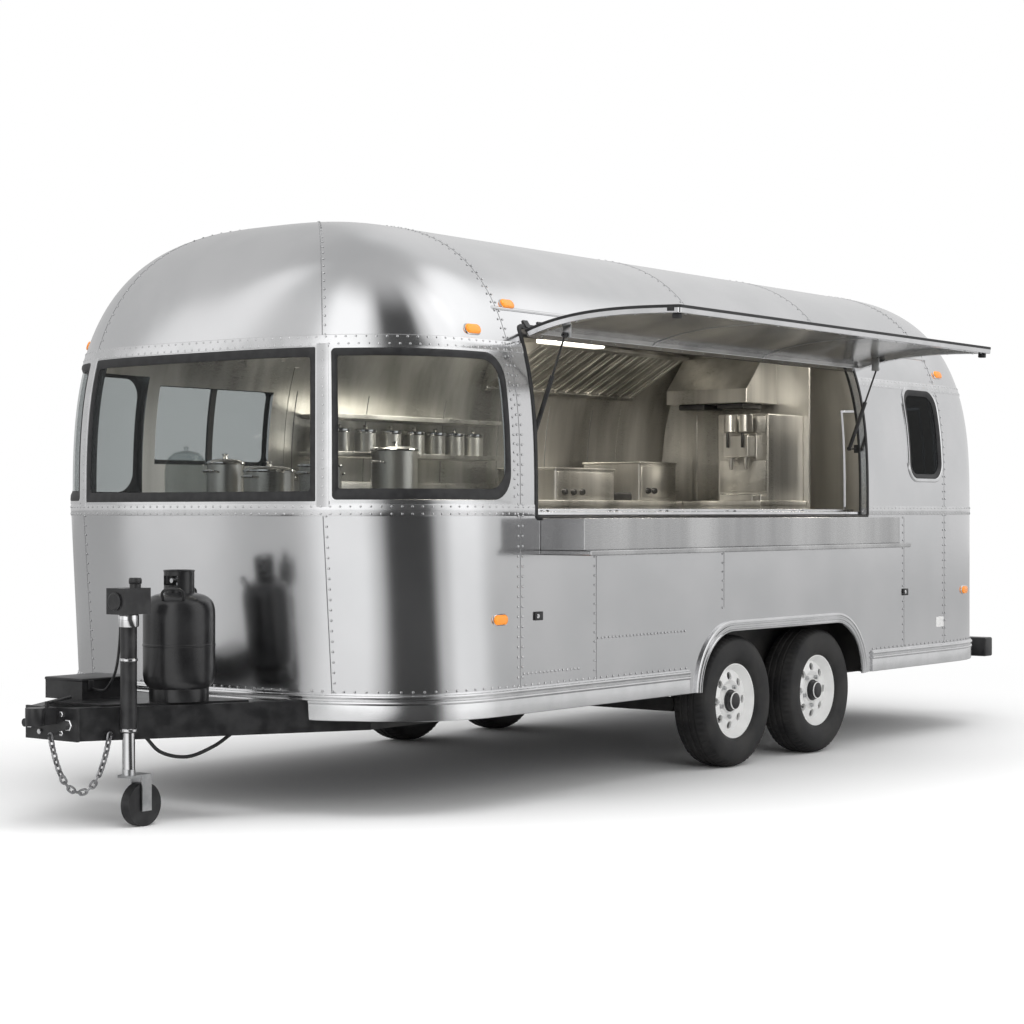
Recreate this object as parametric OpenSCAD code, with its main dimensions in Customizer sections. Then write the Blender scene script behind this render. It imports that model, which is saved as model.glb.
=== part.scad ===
// Riveted aluminium ice cream trailer with rounded ends, a lift-up serving hatch and a tandem axle.
// Frame: +X towards the coupler, +Y towards the serving side, +Z up.
// The origin is on the ground under the middle of the overall box; all lengths are in millimetres.
// Inside this file x = 0 is midway between the axles, and place() moves everything to the origin.

/* [Body shell] */
// Width over the side skins
body_w = 2440; // [2380:10:2500]
// Axle midpoint to the start of the rounded front end
front_start = 2376; // [2340:4:2500]
// Axle midpoint to the start of the rounded rear end
rear_start = 1900; // [1880:10:2000]
// Length of each rounded end beyond its start
end_reach = 870; // [820:10:920]
// How far the front tucks back below the windows
front_tuck = 75; // [0:5:90]
// Underside of the skirt above the ground
skirt_z = 420; // [400:5:440]
// Riveted sill belt above the ground
belt_z = 1335; // [1310:5:1350]
// Riveted belt over the end windows
eave_z = 2085; // [2075:5:2110]
// Crown of the roof above the ground
roof_z = 2700; // [2650:10:2760]
// Thickness of walls, roof and domes
wall_t = 40; // [34:1:46]
// Fullness of the rounded ends and shoulders, 2 is an ellipse
fullness = 3; // [2.6:0.1:3.4]

/* [Windows and door] */
// Sill of the front windows
pane_sill_z = 1380; // [1360:5:1400]
// Head of the front windows
pane_head_z = 2045; // [2020:5:2060]
// Half angle of the centre pane seen from the end's focus, degrees
pane_angle = 33; // [30:1:35]
// Thickness of the glass
glass_t = 8; // [6:1:10]
// Width of the small window near the rear
small_window_w = 400; // [360:10:420]
// Height of the small window near the rear
small_window_h = 516; // [470:2:530]
// Length of the sliding window in the right wall
slider_w = 856; // [780:4:860]
// Plan angle where the entry door starts, degrees from the rear's middle
door_in = 4; // [3:0.5:6]
// Plan angle where the entry door ends, degrees from the rear's middle
door_out = 32; // [30:0.5:34]
// Top of the entry door above the ground
door_top_z = 2010; // [1960:10:2030]

/* [Serving hatch] */
// Front end of the serving opening ahead of the axle midpoint
hatch_front = 2217; // [2150:5:2230]
// Length of the serving opening
hatch_length = 3122; // [3050:10:3160]
// Sill of the serving opening
hatch_sill_z = 1312; // [1305:1:1325]
// Head of the serving opening
hatch_head_z = 2170; // [2150:5:2190]
// Thickness of the hatch panel
hatch_t = 32; // [28:1:34]
// Angle the hatch is opened through, degrees
hatch_angle = 88; // [80:1:92]
// Depth of the serving counter
counter_depth = 250; // [220:10:280]
// Height of the counter's fascia
counter_h = 145; // [120:5:160]

/* [Running gear] */
// Distance between the two axles
axle_gap = 860; // [840:5:900]
// Outside radius of the tyres
tyre_r = 345; // [335:1:350]
// Width of the tyres
tyre_w = 205; // [185:5:215]
// Radius of the rims under the tyre
rim_r = 195; // [185:1:205]
// Middle of each tyre from the trailer's centre line
track_half = 1092; // [1080:2:1100]
// Half length of the wheel arch opening
arch_half = 900; // [890:5:940]
// Top of the wheel arch opening
arch_z = 770; // [750:5:800]
// Radius of the wheel arch's shoulders
arch_r = 360; // [300:10:380]

/* [Drawbar and jack] */
// Axle midpoint to the nose of the coupler
nose_x = 4150; // [4120:10:4300]
// Height of the chassis and drawbar rails
rail_h = 140; // [120:5:145]
// Underside of the rails above the ground
rail_z = 365; // [360:5:370]
// Radius of the ball the coupler takes
ball_r = 25; // [23.8:0.1:25.4]
// Radius of the jack's outer tube
jack_r = 35; // [32:1:38]
// Travel of the jack's leg
jack_travel = 105; // [60:5:105]
// Radius of the caster wheel
caster_r = 92; // [84:1:94]
// Radius of the gas bottle
bottle_r = 156; // [140:2:160]
// Height of the gas bottle's body
bottle_h = 470; // [400:10:520]

/* [Galley] */
// Height of the worktops above the floor
worktop_h = 855; // [800:5:900]
// Depth of the worktop along the right wall
worktop_d = 600; // [520:10:640]

/* [Hidden] */
$fn = 64;
// Sizes shared by many pieces
cut = 20;
fit = 0.3;
running_fit = 0.1;
move_gap = 6;
half_w = body_w / 2;
inner_half = half_w - wall_t;
crown_h = roof_z - belt_z;

// Shares that set how finely the rounded ends are divided
pane_steps = 8;
corner_steps = 9;
dome_steps = 9;
wall_steps = 6;
pillar_angle = 3.5;
corner_end_angle = 87.5;
pane_out_share = 0.15;
pane_in_share = pane_out_share + glass_t / wall_t;

// Floor, wheel wells and skirt rail
floor_t = 40;
floor_z = rail_z + rail_h;
floor_top = floor_z + floor_t;
well_t = 6;
well_in = 955;
well_rise = 40;
well_past = 30;
well_top = arch_z + well_rise;
well_half = arch_half + well_past;
skirt_rail_h = 120;
skirt_rail_t = 8;
bead_h = 26;
bead_t = 7;
arch_trim_w = 58;
arch_trim_t = 14;

// Windows in the flat of the sides
small_window_x = -1640;
small_window_z = 1790;
slider_z = 1795;
slider_h = 430;
window_r = 90;
frame_w = 26;
frame_t = 8;
slider_x = front_start - frame_w * 1.5 - slider_w / 2;

// Door in the rounded rear, on the serving side's half
door_gap = 16;
door_gap_angle = 0.75;
door_steps = 4;
door_rise = 15;
door_z = floor_top + door_rise;
door_axis_out = 14;
door_pin_r = 6;
door_knuckle_r = 10;
door_knuckle_h = 90;
door_hinge_heights = [740, 1215];
door_leaf = 55;
door_leaf_t = 5;
web_low = 0.4;
web_high = 0.8;
door_light_sill_z = 1480;
door_light_head_z = 1880;
handle_out = 44;
handle_z = 1180;
handle_l = 160;
handle_bar = 16;

// Hatch, its hinge and its gas struts
hatch_rear = hatch_front - hatch_length;
hatch_frame = 46;
hatch_skin = 6;
hinge_out = 14;
hinge_pin_r = 4;
hinge_knuckle_r = 8;
hinge_leaf_t = 4;
hinge_leaf_h = 40;
hinge_count = 6;
hinge_l = 150;
strut_anchor_z = 1690;
strut_anchor_in = 32;
strut_reach = 190;
strut_drop = 38;
strut_side = 72;
strut_barrel_r = 11;
strut_rod_r = 5;
strut_pin_r = 5;
strut_eye_r = 12;
strut_eye_t = 12;
rod_eye_past = 2;
rod_eye_t = 2 * strut_barrel_r + rod_eye_past;
strut_plate_t = 6;
strut_plate_w = 46;

// Counter on the outside
counter_in = 20;
counter_drop = 10;
counter_front = hatch_front - counter_in;
counter_rear = -830;
counter_top_z = hatch_sill_z - counter_drop;
counter_t = 12;
ledge_h = 24;
ledge_out = 36;
ledge_past = 65;

// Running gear
axle_z = tyre_r;
hub_r = 62;
hub_cap_r = 46;
spindle_r = 22;
drum_r = 130;
wheel_holes = 8;
hole_r = 21;
hole_ring = 128;
disc_t = 12;
stud_ring = 84;
stud_r = 11;
rim_wall = 7;
rim_drop = 34;
torsion_s = 70;
torsion_ahead = 140;
arm_t = 34;
arm_in = 860;
arm_h = 74;
hanger_w = 90;
axle_seat = 8;

// Chassis
rail_w = 60;
rail_y = 760;
rail_front = 2880;
rail_rear = -2590;
cross_w = 50;
cross_h = 90;
cross_places = [-2400, -1750, -950, 950, 1600, 2250, 2700];
outrigger_w = 40;
outrigger_places = [-1700, -1200, 1200, 1700, 2200];
bumper_x = -2880;
bumper_d = 100;
bumper_h = 120;
bumper_z = 400;
bumper_half = 1040;
bumper_arm_t = 40;

// Drawbar, coupler and what stands on it
bar_w = 60;
bar_front_x = 4010;
bar_front_y = 105;
bar_angle = atan2(rail_y - bar_front_y, bar_front_x - rail_front);
plate_t = 12;
plate_half = 165;
socket_r = 42;
socket_h = 74;
socket_x = nose_x - socket_r;
socket_z = 470;
neck_w = 74;
neck_h = 70;
lever_r = 9;
lever_l = 130;
lever_rise = 60;
grip_share = 0.75;
tray_t = 8;
tray_rear = 3330;
tray_front = 3890;
bottle_x = 3530;
bottle_y = 260;
bottle_foot_h = 40;
bottle_shoulder = 90;
collar_r = 66;
collar_h = 95;
collar_t = 5;
valve_r = 20;
valve_h = 70;
box_l = 300;
box_w = 240;
box_h = 85;
box_x = 3640;
box_y = -190;

// Jack
jack_x = 3850;
jack_y = 290;
jack_bottom = 400;
jack_top = 880;
jack_wall = 8;
collar_z = 850;
collar_ring_h = 50;
collar_ring_t = 6;
head_l = 150;
head_w = 110;
head_h = 110;
knob_r = 24;
knob_h = 40;
leg_r = jack_r - jack_wall - running_fit;
leg_bottom = 246;
leg_top = 660;
clamp_w = 56;
clamp_h = 72;
clamp_z = 420;
caster_trail = 70;
caster_w = 50;
caster_axle_r = 10;
fork_t = 7;
fork_w = 52;
fork_gap = 6;
fork_top = 222;
fork_cap_t = 12;
swivel_r = 28;
pivot_r = 12;
pivot_h = 40;

// Safety chain between the coupler and the jack
wire_r = 4.5;
link_gap = 12;
chain_start = [4080, 60, 398];
chain_end = [3900, 230, 398];
chain_c = 50;
chain_links = 22;
chain_lug = 26;

// Lamps
lamp_l = 105;
lamp_w = 54;
lamp_t = 12;
roof_lamp_x = 2252;
roof_lamp_share = 0.27;
dome_lamp_share = 0.36;
rear_lamp_share = 0.5;
corner_lamp_share = 0.39;
tail_lamp_share = 0.45;
tail_lamp_r = 55;
tail_lamp_t = 24;

// Galley
skin_reach = 500;
worktop_z = floor_top + worktop_h;
bulkhead_x = -2330;
bulkhead_t = 20;
bulkhead_top = 2440;
bulkhead_steps = 10;
bulkhead_gap = 9;
bulkhead_left = 40;
right_top_front = 1350;
rear_top_d = 560;
rear_top_left = 20;
front_top_x = 2280;
front_top_d = 560;
front_top_half = 780;
hood_z = 2030;
hood_h = 320;
hood_d = 560;
hood_front = -300;
hood_rear = -1890;
canopy_z = 2040;
canopy_h = 310;
canopy_d = 380;
canopy_w = 620;
canopy_lip = 90;
canopy_left = -200;
canopy_top_share = 0.45;
machine_y = -190;
machine_w = 380;
machine_d = 440;
machine_h = 560;
machine_nose = 90;
machine_tray_h = 40;
warmer_x = -1500;
unit_in = 360;
warmer_y = -inner_half + unit_in;
warmer_l = 420;
warmer_w = 440;
warmer_h = 240;
griddle_x = -700;
griddle_l = 620;
griddle_h = 190;
shelf_rear = -250;
shelf_front = 1250;
shelf_d = 280;
shelf_t = 25;
shelf_heights = [1640, 1850];
canister_r = 62;
canister_h = 130;
canister_places = [-120, 60, 240, 430, 640, 860, 1080];
pot_in = 440;
pot_places = [[930, -inner_half + pot_in, 130, 280], [2650, 280, 100, 150], [2640, -60, 120, 130],
    [2640, -350, 90, 170]];
jar_place = [2640, -620];
jar_r = 105;
jar_h = 250;
tube_l = 1150;
tube_w = 120;
tube_h = 60;
tube_front = 700;

// Outermost points, for the frame's origin
hatch_axis_y = half_w * waist(hatch_head_z) + hinge_out;
hatch_axis_z = hatch_head_z;
hatch_edge = swung([half_w, hatch_sill_z + move_gap], hatch_angle);
left_edge = hatch_edge[0];
right_edge = half_w + skirt_rail_t + bead_t;
tail_x = bumper_x - bumper_d / 2;
shift = [-(nose_x + tail_x) / 2, -(left_edge - right_edge) / 2, 0];

// Strut ends, closed and open, in the plane across the trailer
strut_foot = [inner_half - strut_anchor_in, strut_anchor_z];
strut_head_shut = [half_w * waist(hatch_axis_z - strut_reach) - hatch_t - strut_drop,
    hatch_axis_z - strut_reach];
strut_head_open = swung(strut_head_shut, hatch_angle);
strut_open = norm(strut_head_open - strut_foot);
strut_shut = norm(strut_head_shut - strut_foot);
strut_stroke = strut_open - strut_shut;
strut_lean = atan2(strut_head_open[0] - strut_foot[0], strut_head_open[1] - strut_foot[1]);
strut_lean_shut = atan2(strut_head_shut[0] - strut_foot[0], strut_head_shut[1] - strut_foot[1]);
strut_barrel = strut_shut - strut_eye_r - strut_eye_r;
strut_places = [hatch_front - strut_side, hatch_rear + strut_side];

// Shape of the shell
function lift(z) = max(0, min(1, (z - belt_z) / crown_h));
function waist(z) = pow(1 - pow(lift(z), fullness), 1 / fullness);
function lobe(angle) = pow(pow(abs(cos(angle)), fullness) + pow(abs(sin(angle)), fullness), -1 / fullness);
function tuck(z, most) = most * max(0, belt_z - z) / (belt_z - skirt_z);

// A point of the rounded end at a plan angle and height, at a share of the way through the wall
function end_point(angle, z, share, most) =
    let (deep = share * wall_t, s = waist(z), reach = end_reach - tuck(z, most) - deep)
    [reach * s * cos(angle) * lobe(angle), (half_w - deep) * s * sin(angle) * lobe(angle),
        z > belt_z ? belt_z + (crown_h - deep) * lift(z) : z];

// A point of the middle's section, across and up
function side_point(z, share) =
    let (deep = share * wall_t)
    [(half_w - deep) * waist(z), z > belt_z ? belt_z + (crown_h - deep) * lift(z) : z];

function spread(from, to, steps) = [for (i = [0:steps]) from + (to - from) * i / steps];
function joined(lists) = [for (l = lists) for (v = l) v];
function backwards(list) = [for (i = [len(list) - 1:-1:0]) list[i]];
function swung(p, angle) =
    let (y = p[0] - hatch_axis_y, z = p[1] - hatch_axis_z)
    [hatch_axis_y + y * cos(angle) - z * sin(angle), hatch_axis_z + y * sin(angle) + z * cos(angle)];

// Heights that divide the upper shell evenly round its shoulder
function shoulder_z(z0, z1, steps) =
    let (a0 = atan2(lift(z0), waist(z0)), a1 = atan2(lift(z1), waist(z1)))
    [for (a = spread(a0, a1, steps)) belt_z + crown_h * sin(a) * lobe(a)];

// Plan angles round an end: side, corner pane, pillar, centre pane and back to the other side
half_angles = joined([spread(0, pane_angle, pane_steps / 2),
    spread(pane_angle + pillar_angle, corner_end_angle, corner_steps), [90]]);
end_angles = concat([for (i = [len(half_angles) - 1:-1:1]) -half_angles[i]], half_angles);

rear_angles = joined([[for (i = [len(half_angles) - 1:-1:1]) -half_angles[i]], [0],
    spread(door_in - door_gap_angle, door_out + door_gap_angle, door_steps),
    spread(door_out + door_gap_angle * 2 + pillar_angle, 90, corner_steps)]);

// A solid sheet over a grid of plan angles and heights; cells picked out by holes are left open
module end_sheet(angles, heights, out_share, in_share, most, holes = [], closed_top = false) {
    n = len(angles);
    m = len(heights);
    function at(layer, j, i) = (layer * m + j) * n + i;
    function open(j, i) = i < 0 || j < 0 || i >= n - 1 || j >= m - 1
        || len([for (h = holes) if (i >= h[0] && i < h[1] && j >= h[2] && j < h[3]) 1]) > 0;
    points = [for (share = [out_share, in_share]) for (z = heights) for (a = angles)
        end_point(a, z, share, most)];
    solid = [for (j = [0:m - 2]) for (i = [0:n - 2]) if (!open(j, i)) [j, i]];
    last = closed_top ? m - 2 : m;
    faces = joined([for (c = solid) let (j = c[0], i = c[1], k = at(0, m - 1, 0), l = at(1, m - 1, 0))
        concat(
            j == last
                ? [[at(0, j, i), k, at(0, j, i + 1)], [at(1, j, i), at(1, j, i + 1), l]]
                : [[at(0, j, i), at(0, j + 1, i + 1), at(0, j, i + 1)],
                    [at(0, j, i), at(0, j + 1, i), at(0, j + 1, i + 1)],
                    [at(1, j, i), at(1, j, i + 1), at(1, j + 1, i + 1)],
                    [at(1, j, i), at(1, j + 1, i + 1), at(1, j + 1, i)]],
            open(j - 1, i) ? [[at(0, j, i), at(0, j, i + 1), at(1, j, i + 1)],
                [at(0, j, i), at(1, j, i + 1), at(1, j, i)]] : [],
            open(j + 1, i) && j != last ? [[at(0, j + 1, i + 1), at(0, j + 1, i), at(1, j + 1, i + 1)],
                [at(0, j + 1, i), at(1, j + 1, i), at(1, j + 1, i + 1)]] : [],
            open(j, i - 1) ? (j == last
                ? [[at(0, j, i), at(1, j, i), k], [k, at(1, j, i), l]]
                : [[at(0, j, i), at(1, j, i), at(0, j + 1, i)],
                    [at(0, j + 1, i), at(1, j, i), at(1, j + 1, i)]]) : [],
            open(j, i + 1) ? (j == last
                ? [[at(0, j, i + 1), k, at(1, j, i + 1)], [k, l, at(1, j, i + 1)]]
                : [[at(0, j, i + 1), at(0, j + 1, i + 1), at(1, j, i + 1)],
                    [at(0, j + 1, i + 1), at(1, j + 1, i + 1), at(1, j, i + 1)]]) : [])]);
    polyhedron(points, faces);
}

// Puts an end built about its own start at the front or, turned round, at the rear
module at_front() translate([front_start, 0, 0]) children();
module at_rear() translate([-rear_start, 0, 0]) mirror([1, 0, 0]) children();
module place() translate(shift) children();

// A strip of the side wall's section, as an outline across and up
module side_strip(heights, out_share, in_share)
    polygon(concat([for (z = heights) side_point(z, out_share)],
        backwards([for (z = heights) side_point(z, in_share)])));

// Draws an outline, across and up, along the trailer from one place to another
module along(from, to) translate([from, 0, 0]) rotate([90, 0, 90]) linear_extrude(to - from) children();

// Draws an outline, along and up, outwards through the left side
module through_side(from, to) translate([0, to, 0]) rotate([90, 0, 0]) linear_extrude(to - from) children();

module block(from, to) translate(from) cube(to - from);
module both_sides() for (s = [0, 1]) mirror([0, s, 0]) children();
module rod_along(from, to, r)
    translate(from) multmatrix(turned(to - from)) cylinder(h = norm(to - from), r = r);
function unit(v) = v / norm(v);
function turned(v) =
    let (w = unit(v), k = abs(w[2]) > 0.9 ? [1, 0, 0] : [0, 0, 1], a = unit(cross(k, w)), b = cross(w, a))
    [[a[0], b[0], w[0], 0], [a[1], b[1], w[1], 0], [a[2], b[2], w[2], 0], [0, 0, 0, 1]];

module rounded(w, h, r) {
    square([w - r - r, h], center = true);
    square([w, h - r - r], center = true);
    for (x = [-1, 1], y = [-1, 1]) translate([x * (w / 2 - r), y * (h / 2 - r)]) circle(r);
}

// Heights of the walls and domes
wall_top_z = 2245;
front_heights = concat([skirt_z, skirt_z + skirt_rail_h, belt_z, pane_sill_z], backwards([for (i = [0:2])
    pane_head_z - (pane_head_z - pane_sill_z) * i / 3]), [eave_z]);
dome_heights = shoulder_z(eave_z, roof_z, dome_steps);
side_heights = concat([skirt_z], spread(belt_z, wall_top_z, wall_steps));
pane_rows = [3, 6];
corner_holes = [1, 1 + corner_steps];
centre_holes = [2 + corner_steps, 2 + corner_steps + pane_steps];
other_holes = [3 + corner_steps + pane_steps, 3 + corner_steps + pane_steps + corner_steps];

module floor() color("dimgray") place() difference() {
    translate([0, 0, floor_z]) linear_extrude(floor_t) polygon(concat(
        [for (a = end_angles) let (p = end_point(a, floor_z, 1, front_tuck)) [front_start + p[0] - fit,
            p[1] * (1 - fit / inner_half)]],
        [for (a = backwards(rear_angles)) let (p = end_point(a, floor_z, 1, 0)) [-rear_start - p[0] + fit,
            p[1] * (1 - fit / inner_half)]]));
    both_sides() block([-well_half - fit, well_in - fit, floor_z - cut],
        [well_half + fit, half_w, floor_top + cut]);
}

module bar_path(extra, low, high) both_sides() translate([bar_front_x, bar_front_y, 0])
    rotate([0, 0, 180 - bar_angle]) block([-rail_w * 2, -bar_w / 2 - extra, low],
        [(bar_front_x - rail_front) / cos(bar_angle) + rail_w * 2, bar_w / 2 + extra, high]);

module front_wall() color("silver") place() difference() {
    at_front() end_sheet(end_angles, front_heights, 0, 1, front_tuck,
        [for (h = [corner_holes, centre_holes, other_holes]) concat(h, pane_rows)]);
    bar_path(fit, rail_z - cut, floor_z + fit);
}

module front_dome() color("silver") place()
    at_front() end_sheet(end_angles, dome_heights, 0, 1, 0, closed_top = true);

rear_heights = [skirt_z, door_z - door_gap, belt_z, belt_z + (door_top_z - belt_z) / 3,
    belt_z + (door_top_z - belt_z) * 2 / 3, door_top_z + door_gap, eave_z];
door_column = len(half_angles);
module rear_wall() color("silver") place() at_rear()
    end_sheet(rear_angles, rear_heights, 0, 1, 0, [[door_column, door_column + door_steps, 1, 5]]);

module rear_dome() color("silver") place()
    at_rear() end_sheet(rear_angles, dome_heights, 0, 1, 0, closed_top = true);

module arch_outline(grow) intersection() {
    translate([0, arch_z / 2]) rounded(arch_half * 2 + grow * 2, arch_z + grow * 2, arch_r + grow);
    translate([-arch_half * 2, skirt_z - cut]) square([arch_half * 4, arch_z]);
}

module small_window(grow) translate([small_window_x, small_window_z])
    rounded(small_window_w + grow * 2, small_window_h + grow * 2, window_r + grow);

module slider(grow) translate([slider_x, slider_z])
    rounded(slider_w + grow * 2, slider_h + grow * 2, window_r / 2 + grow);

module left_wall() color("silver") place() difference() {
    along(-rear_start, front_start) side_strip(side_heights, 0, 1);
    block([hatch_rear, half_w / 2, hatch_sill_z], [hatch_front, half_w + cut, hatch_head_z]);
    through_side(half_w / 2, half_w + cut) arch_outline(0);
    through_side(half_w / 2, half_w + cut) small_window(0);
}

module right_wall() color("silver") place() mirror([0, 1, 0]) difference() {
    along(-rear_start, front_start) side_strip(side_heights, 0, 1);
    through_side(half_w / 2, half_w + cut) arch_outline(0);
    through_side(half_w / 2, half_w + cut) slider(0);
}

module roof() color("silver") place() along(-rear_start, front_start)
    let (zs = shoulder_z(wall_top_z, roof_z, dome_steps), n = len(zs))
    polygon(concat([for (z = zs) side_point(z, 0)],
        [for (i = [n - 2:-1:0]) let (p = side_point(zs[i], 0)) [-p[0], p[1]]],
        [for (z = zs) let (p = side_point(z, 1)) [-p[0], p[1]]],
        [for (i = [n - 2:-1:0]) side_point(zs[i], 1)]));

// Skirt rail: a plain band with a bead along its upper edge, broken at the wheel arches
skirt_top = skirt_z + skirt_rail_h;
module skirt_rail() color("silver") place() {
    out = -skirt_rail_t / wall_t;
    bead = -(skirt_rail_t + bead_t) / wall_t;
    seat = out - fit / wall_t;
    both_sides() for (run = [[-rear_start + fit, -arch_half - arch_trim_w - fit],
            [arch_half + arch_trim_w + fit, front_start - fit]])
        along(run[0], run[1]) {
            side_strip([skirt_z, skirt_top], out, 0);
            side_strip([skirt_top - bead_h, skirt_top], bead, seat);
        }
    difference() {
        at_front() end_sheet(end_angles, [skirt_z, skirt_top], out, 0, front_tuck);
        bar_path(fit, rail_z - cut, floor_z + fit);
    }
    at_front() end_sheet(end_angles, [skirt_top - bead_h, skirt_top], bead, seat, front_tuck);
    at_rear() end_sheet(rear_angles, [skirt_z, skirt_top], out, 0, 0);
    at_rear() end_sheet(rear_angles, [skirt_top - bead_h, skirt_top], bead, seat, 0);
}

module arch_trim() color("gainsboro") place() both_sides()
    through_side(half_w, half_w + arch_trim_t) difference() {
        intersection() {
            arch_outline(arch_trim_w);
            translate([-half_w * 2, skirt_z]) square([half_w * 4, half_w]);
        }
        arch_outline(0);
    }

module wheel_wells() color("dimgray") place() both_sides() difference() {
    block([-well_half, well_in, skirt_z], [well_half, inner_half, well_top]);
    block([-well_half + well_t, well_in + well_t, skirt_z - cut],
        [well_half - well_t, half_w, well_top - well_t]);
}

// Panes of the rounded front, a hair smaller than their openings
pane_heights = spread(pane_sill_z + fit * 2, pane_head_z - fit * 2, 3);
edge_angle = 0.06;
module front_glass() color("lightblue") place() at_front() {
    end_sheet(spread(-pane_angle + edge_angle, pane_angle - edge_angle, pane_steps), pane_heights,
        pane_out_share, pane_in_share, front_tuck);
    for (s = [0, 1]) mirror([0, s, 0]) end_sheet(
        spread(pane_angle + pillar_angle + edge_angle, corner_end_angle - edge_angle, corner_steps),
        pane_heights, pane_out_share, pane_in_share, front_tuck);
}

// Panes of the flat sides with their raised frames
module window_parts(outer_share, inner_share) intersection() {
    along(-rear_start, front_start) side_strip(side_heights, outer_share, inner_share);
    through_side(half_w / 2, half_w + cut) children();
}

module side_windows() color("slategray") place() {
    out = -frame_t / wall_t;
    window_parts(pane_out_share, pane_in_share) small_window(-fit);
    window_parts(out, 0) difference() {
        small_window(frame_w);
        small_window(-frame_w / 2);
    }
    mirror([0, 1, 0]) {
        window_parts(pane_out_share, pane_in_share) slider(-fit);
        window_parts(out, 0) difference() {
            slider(frame_w);
            slider(-frame_w / 2);
        }
    }
}

// Serving hatch, drawn shut and swung open about its hinge
module swing_open() translate([0, hatch_axis_y, hatch_axis_z]) rotate([hatch_angle, 0, 0])
    translate([0, -hatch_axis_y, -hatch_axis_z]) children();

hatch_low = hatch_sill_z + move_gap;
hatch_high = hatch_head_z - move_gap;
hatch_share = hatch_t / wall_t;
hinge_step = (hatch_length - hinge_l * 2) / (hinge_count - 1);
hinge_places = [for (i = [0:hinge_count - 1]) hatch_rear + hinge_l + i * hinge_step];

module hatch() color("gainsboro") place() swing_open() {
    difference() {
        along(hatch_rear + move_gap, hatch_front - move_gap)
            side_strip(spread(hatch_low, hatch_high, wall_steps), 0, hatch_share);
        along(hatch_rear + move_gap + hatch_frame, hatch_front - move_gap - hatch_frame)
            side_strip(spread(hatch_low + hatch_frame, hatch_high - hatch_frame, wall_steps),
                hatch_skin / wall_t, 1);
    }
    for (x = hinge_places) hatch_knuckle(x);
    for (x = strut_places) hatch_stud(x);
}

// The hatch's half of a hinge: a knuckle round the pin with a tongue down to the panel
module hatch_knuckle(x) difference() {
    union() {
        rod_along([x, hatch_axis_y, hatch_axis_z], [x + hinge_l / 2, hatch_axis_y, hatch_axis_z],
            hinge_knuckle_r);
        block([x, half_w * waist(hatch_high) - hinge_leaf_t, hatch_high - hinge_leaf_h / 2],
            [x + hinge_l / 2, hatch_axis_y, hatch_axis_z]);
    }
    rod_along([x - cut, hatch_axis_y, hatch_axis_z], [x + hinge_l, hatch_axis_y, hatch_axis_z],
        hinge_pin_r + running_fit);
}

function inward(x) = x > (hatch_front + hatch_rear) / 2 ? -1 : 1;

// A plate standing off the hatch's frame with a short pin for the strut's eye
module hatch_stud(x) {
    y = strut_head_shut[0];
    z = strut_head_shut[1];
    d = inward(x);
    from = x + d * (rod_eye_t / 2 + fit);
    block([min(from, from + d * strut_plate_t), y - strut_eye_r, z - strut_plate_w / 2],
        [max(from, from + d * strut_plate_t), half_w * waist(z) - hatch_skin, z + strut_plate_w / 2]);
}

module hatch_hinge() color("gray") place() {
    rod_along([hinge_places[0] - hinge_l / 2, hatch_axis_y, hatch_axis_z],
        [hinge_places[hinge_count - 1] + hinge_l, hatch_axis_y, hatch_axis_z], hinge_pin_r);
    for (x = hinge_places) for (end = [x - hinge_l / 4 - fit, x + hinge_l / 2 + fit]) {
        rod_along([end, hatch_axis_y, hatch_axis_z], [end + hinge_l / 4, hatch_axis_y, hatch_axis_z],
            hinge_knuckle_r);
        along(end, end + hinge_l / 4) polygon([side_point(hatch_head_z, 0),
            side_point(hatch_head_z + hinge_leaf_h, 0),
            side_point(hatch_head_z + hinge_leaf_h, -hinge_leaf_t / wall_t),
            [hatch_axis_y, hatch_axis_z + hinge_knuckle_r / 2], [hatch_axis_y, hatch_axis_z]]);
    }
}

// Gas struts: a plate behind each jamb carries a pin, the barrel turns on it
// and the rod slides in the barrel
module strut_brackets() color("dimgray") place() for (x = strut_places) {
    d = inward(x);
    jamb = d < 0 ? hatch_front : hatch_rear;
    rod_along([x + d * strut_eye_t / 2, strut_foot[0], strut_foot[1]],
        [jamb - d * strut_plate_w / 2, strut_foot[0], strut_foot[1]], strut_pin_r);
    difference() {
        block([min(jamb, jamb - d * strut_plate_w), strut_foot[0] - strut_pin_r * 2,
            strut_foot[1] - strut_plate_w / 2],
            [max(jamb, jamb - d * strut_plate_w), half_w, strut_foot[1] + strut_plate_w / 2]);
        along(jamb - strut_plate_w * 2, jamb + strut_plate_w * 2)
            side_strip(side_heights, -1, 1 + fit / wall_t);
    }
}

module strut_axis(x) translate([x, strut_foot[0], strut_foot[1]]) rotate([-strut_lean, 0, 0]) children();
module strut_eye(bore, thick) difference() {
    translate([-thick / 2, 0, 0]) rotate([0, 90, 0]) cylinder(h = thick, r = strut_eye_r);
    translate([-thick, 0, 0]) rotate([0, 90, 0]) cylinder(h = thick * 2, r = bore);
}

module strut_barrel_at(x) color("black") place() strut_axis(x) {
    strut_eye(strut_pin_r + running_fit, strut_eye_t);
    difference() {
        translate([0, 0, strut_eye_r - fit]) cylinder(h = strut_barrel, r = strut_barrel_r);
        translate([0, 0, strut_eye_r * 2]) cylinder(h = strut_barrel * 2, r = strut_rod_r + running_fit);
    }
}

module strut_rod_at(x) color("silver") place() strut_axis(x) {
    translate([0, 0, strut_open]) strut_eye(strut_pin_r, rod_eye_t);
    translate([0, 0, strut_stroke + strut_eye_r * 3])
        cylinder(h = strut_open - strut_stroke - strut_eye_r * 4 + fit * 2, r = strut_rod_r);
}

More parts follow.
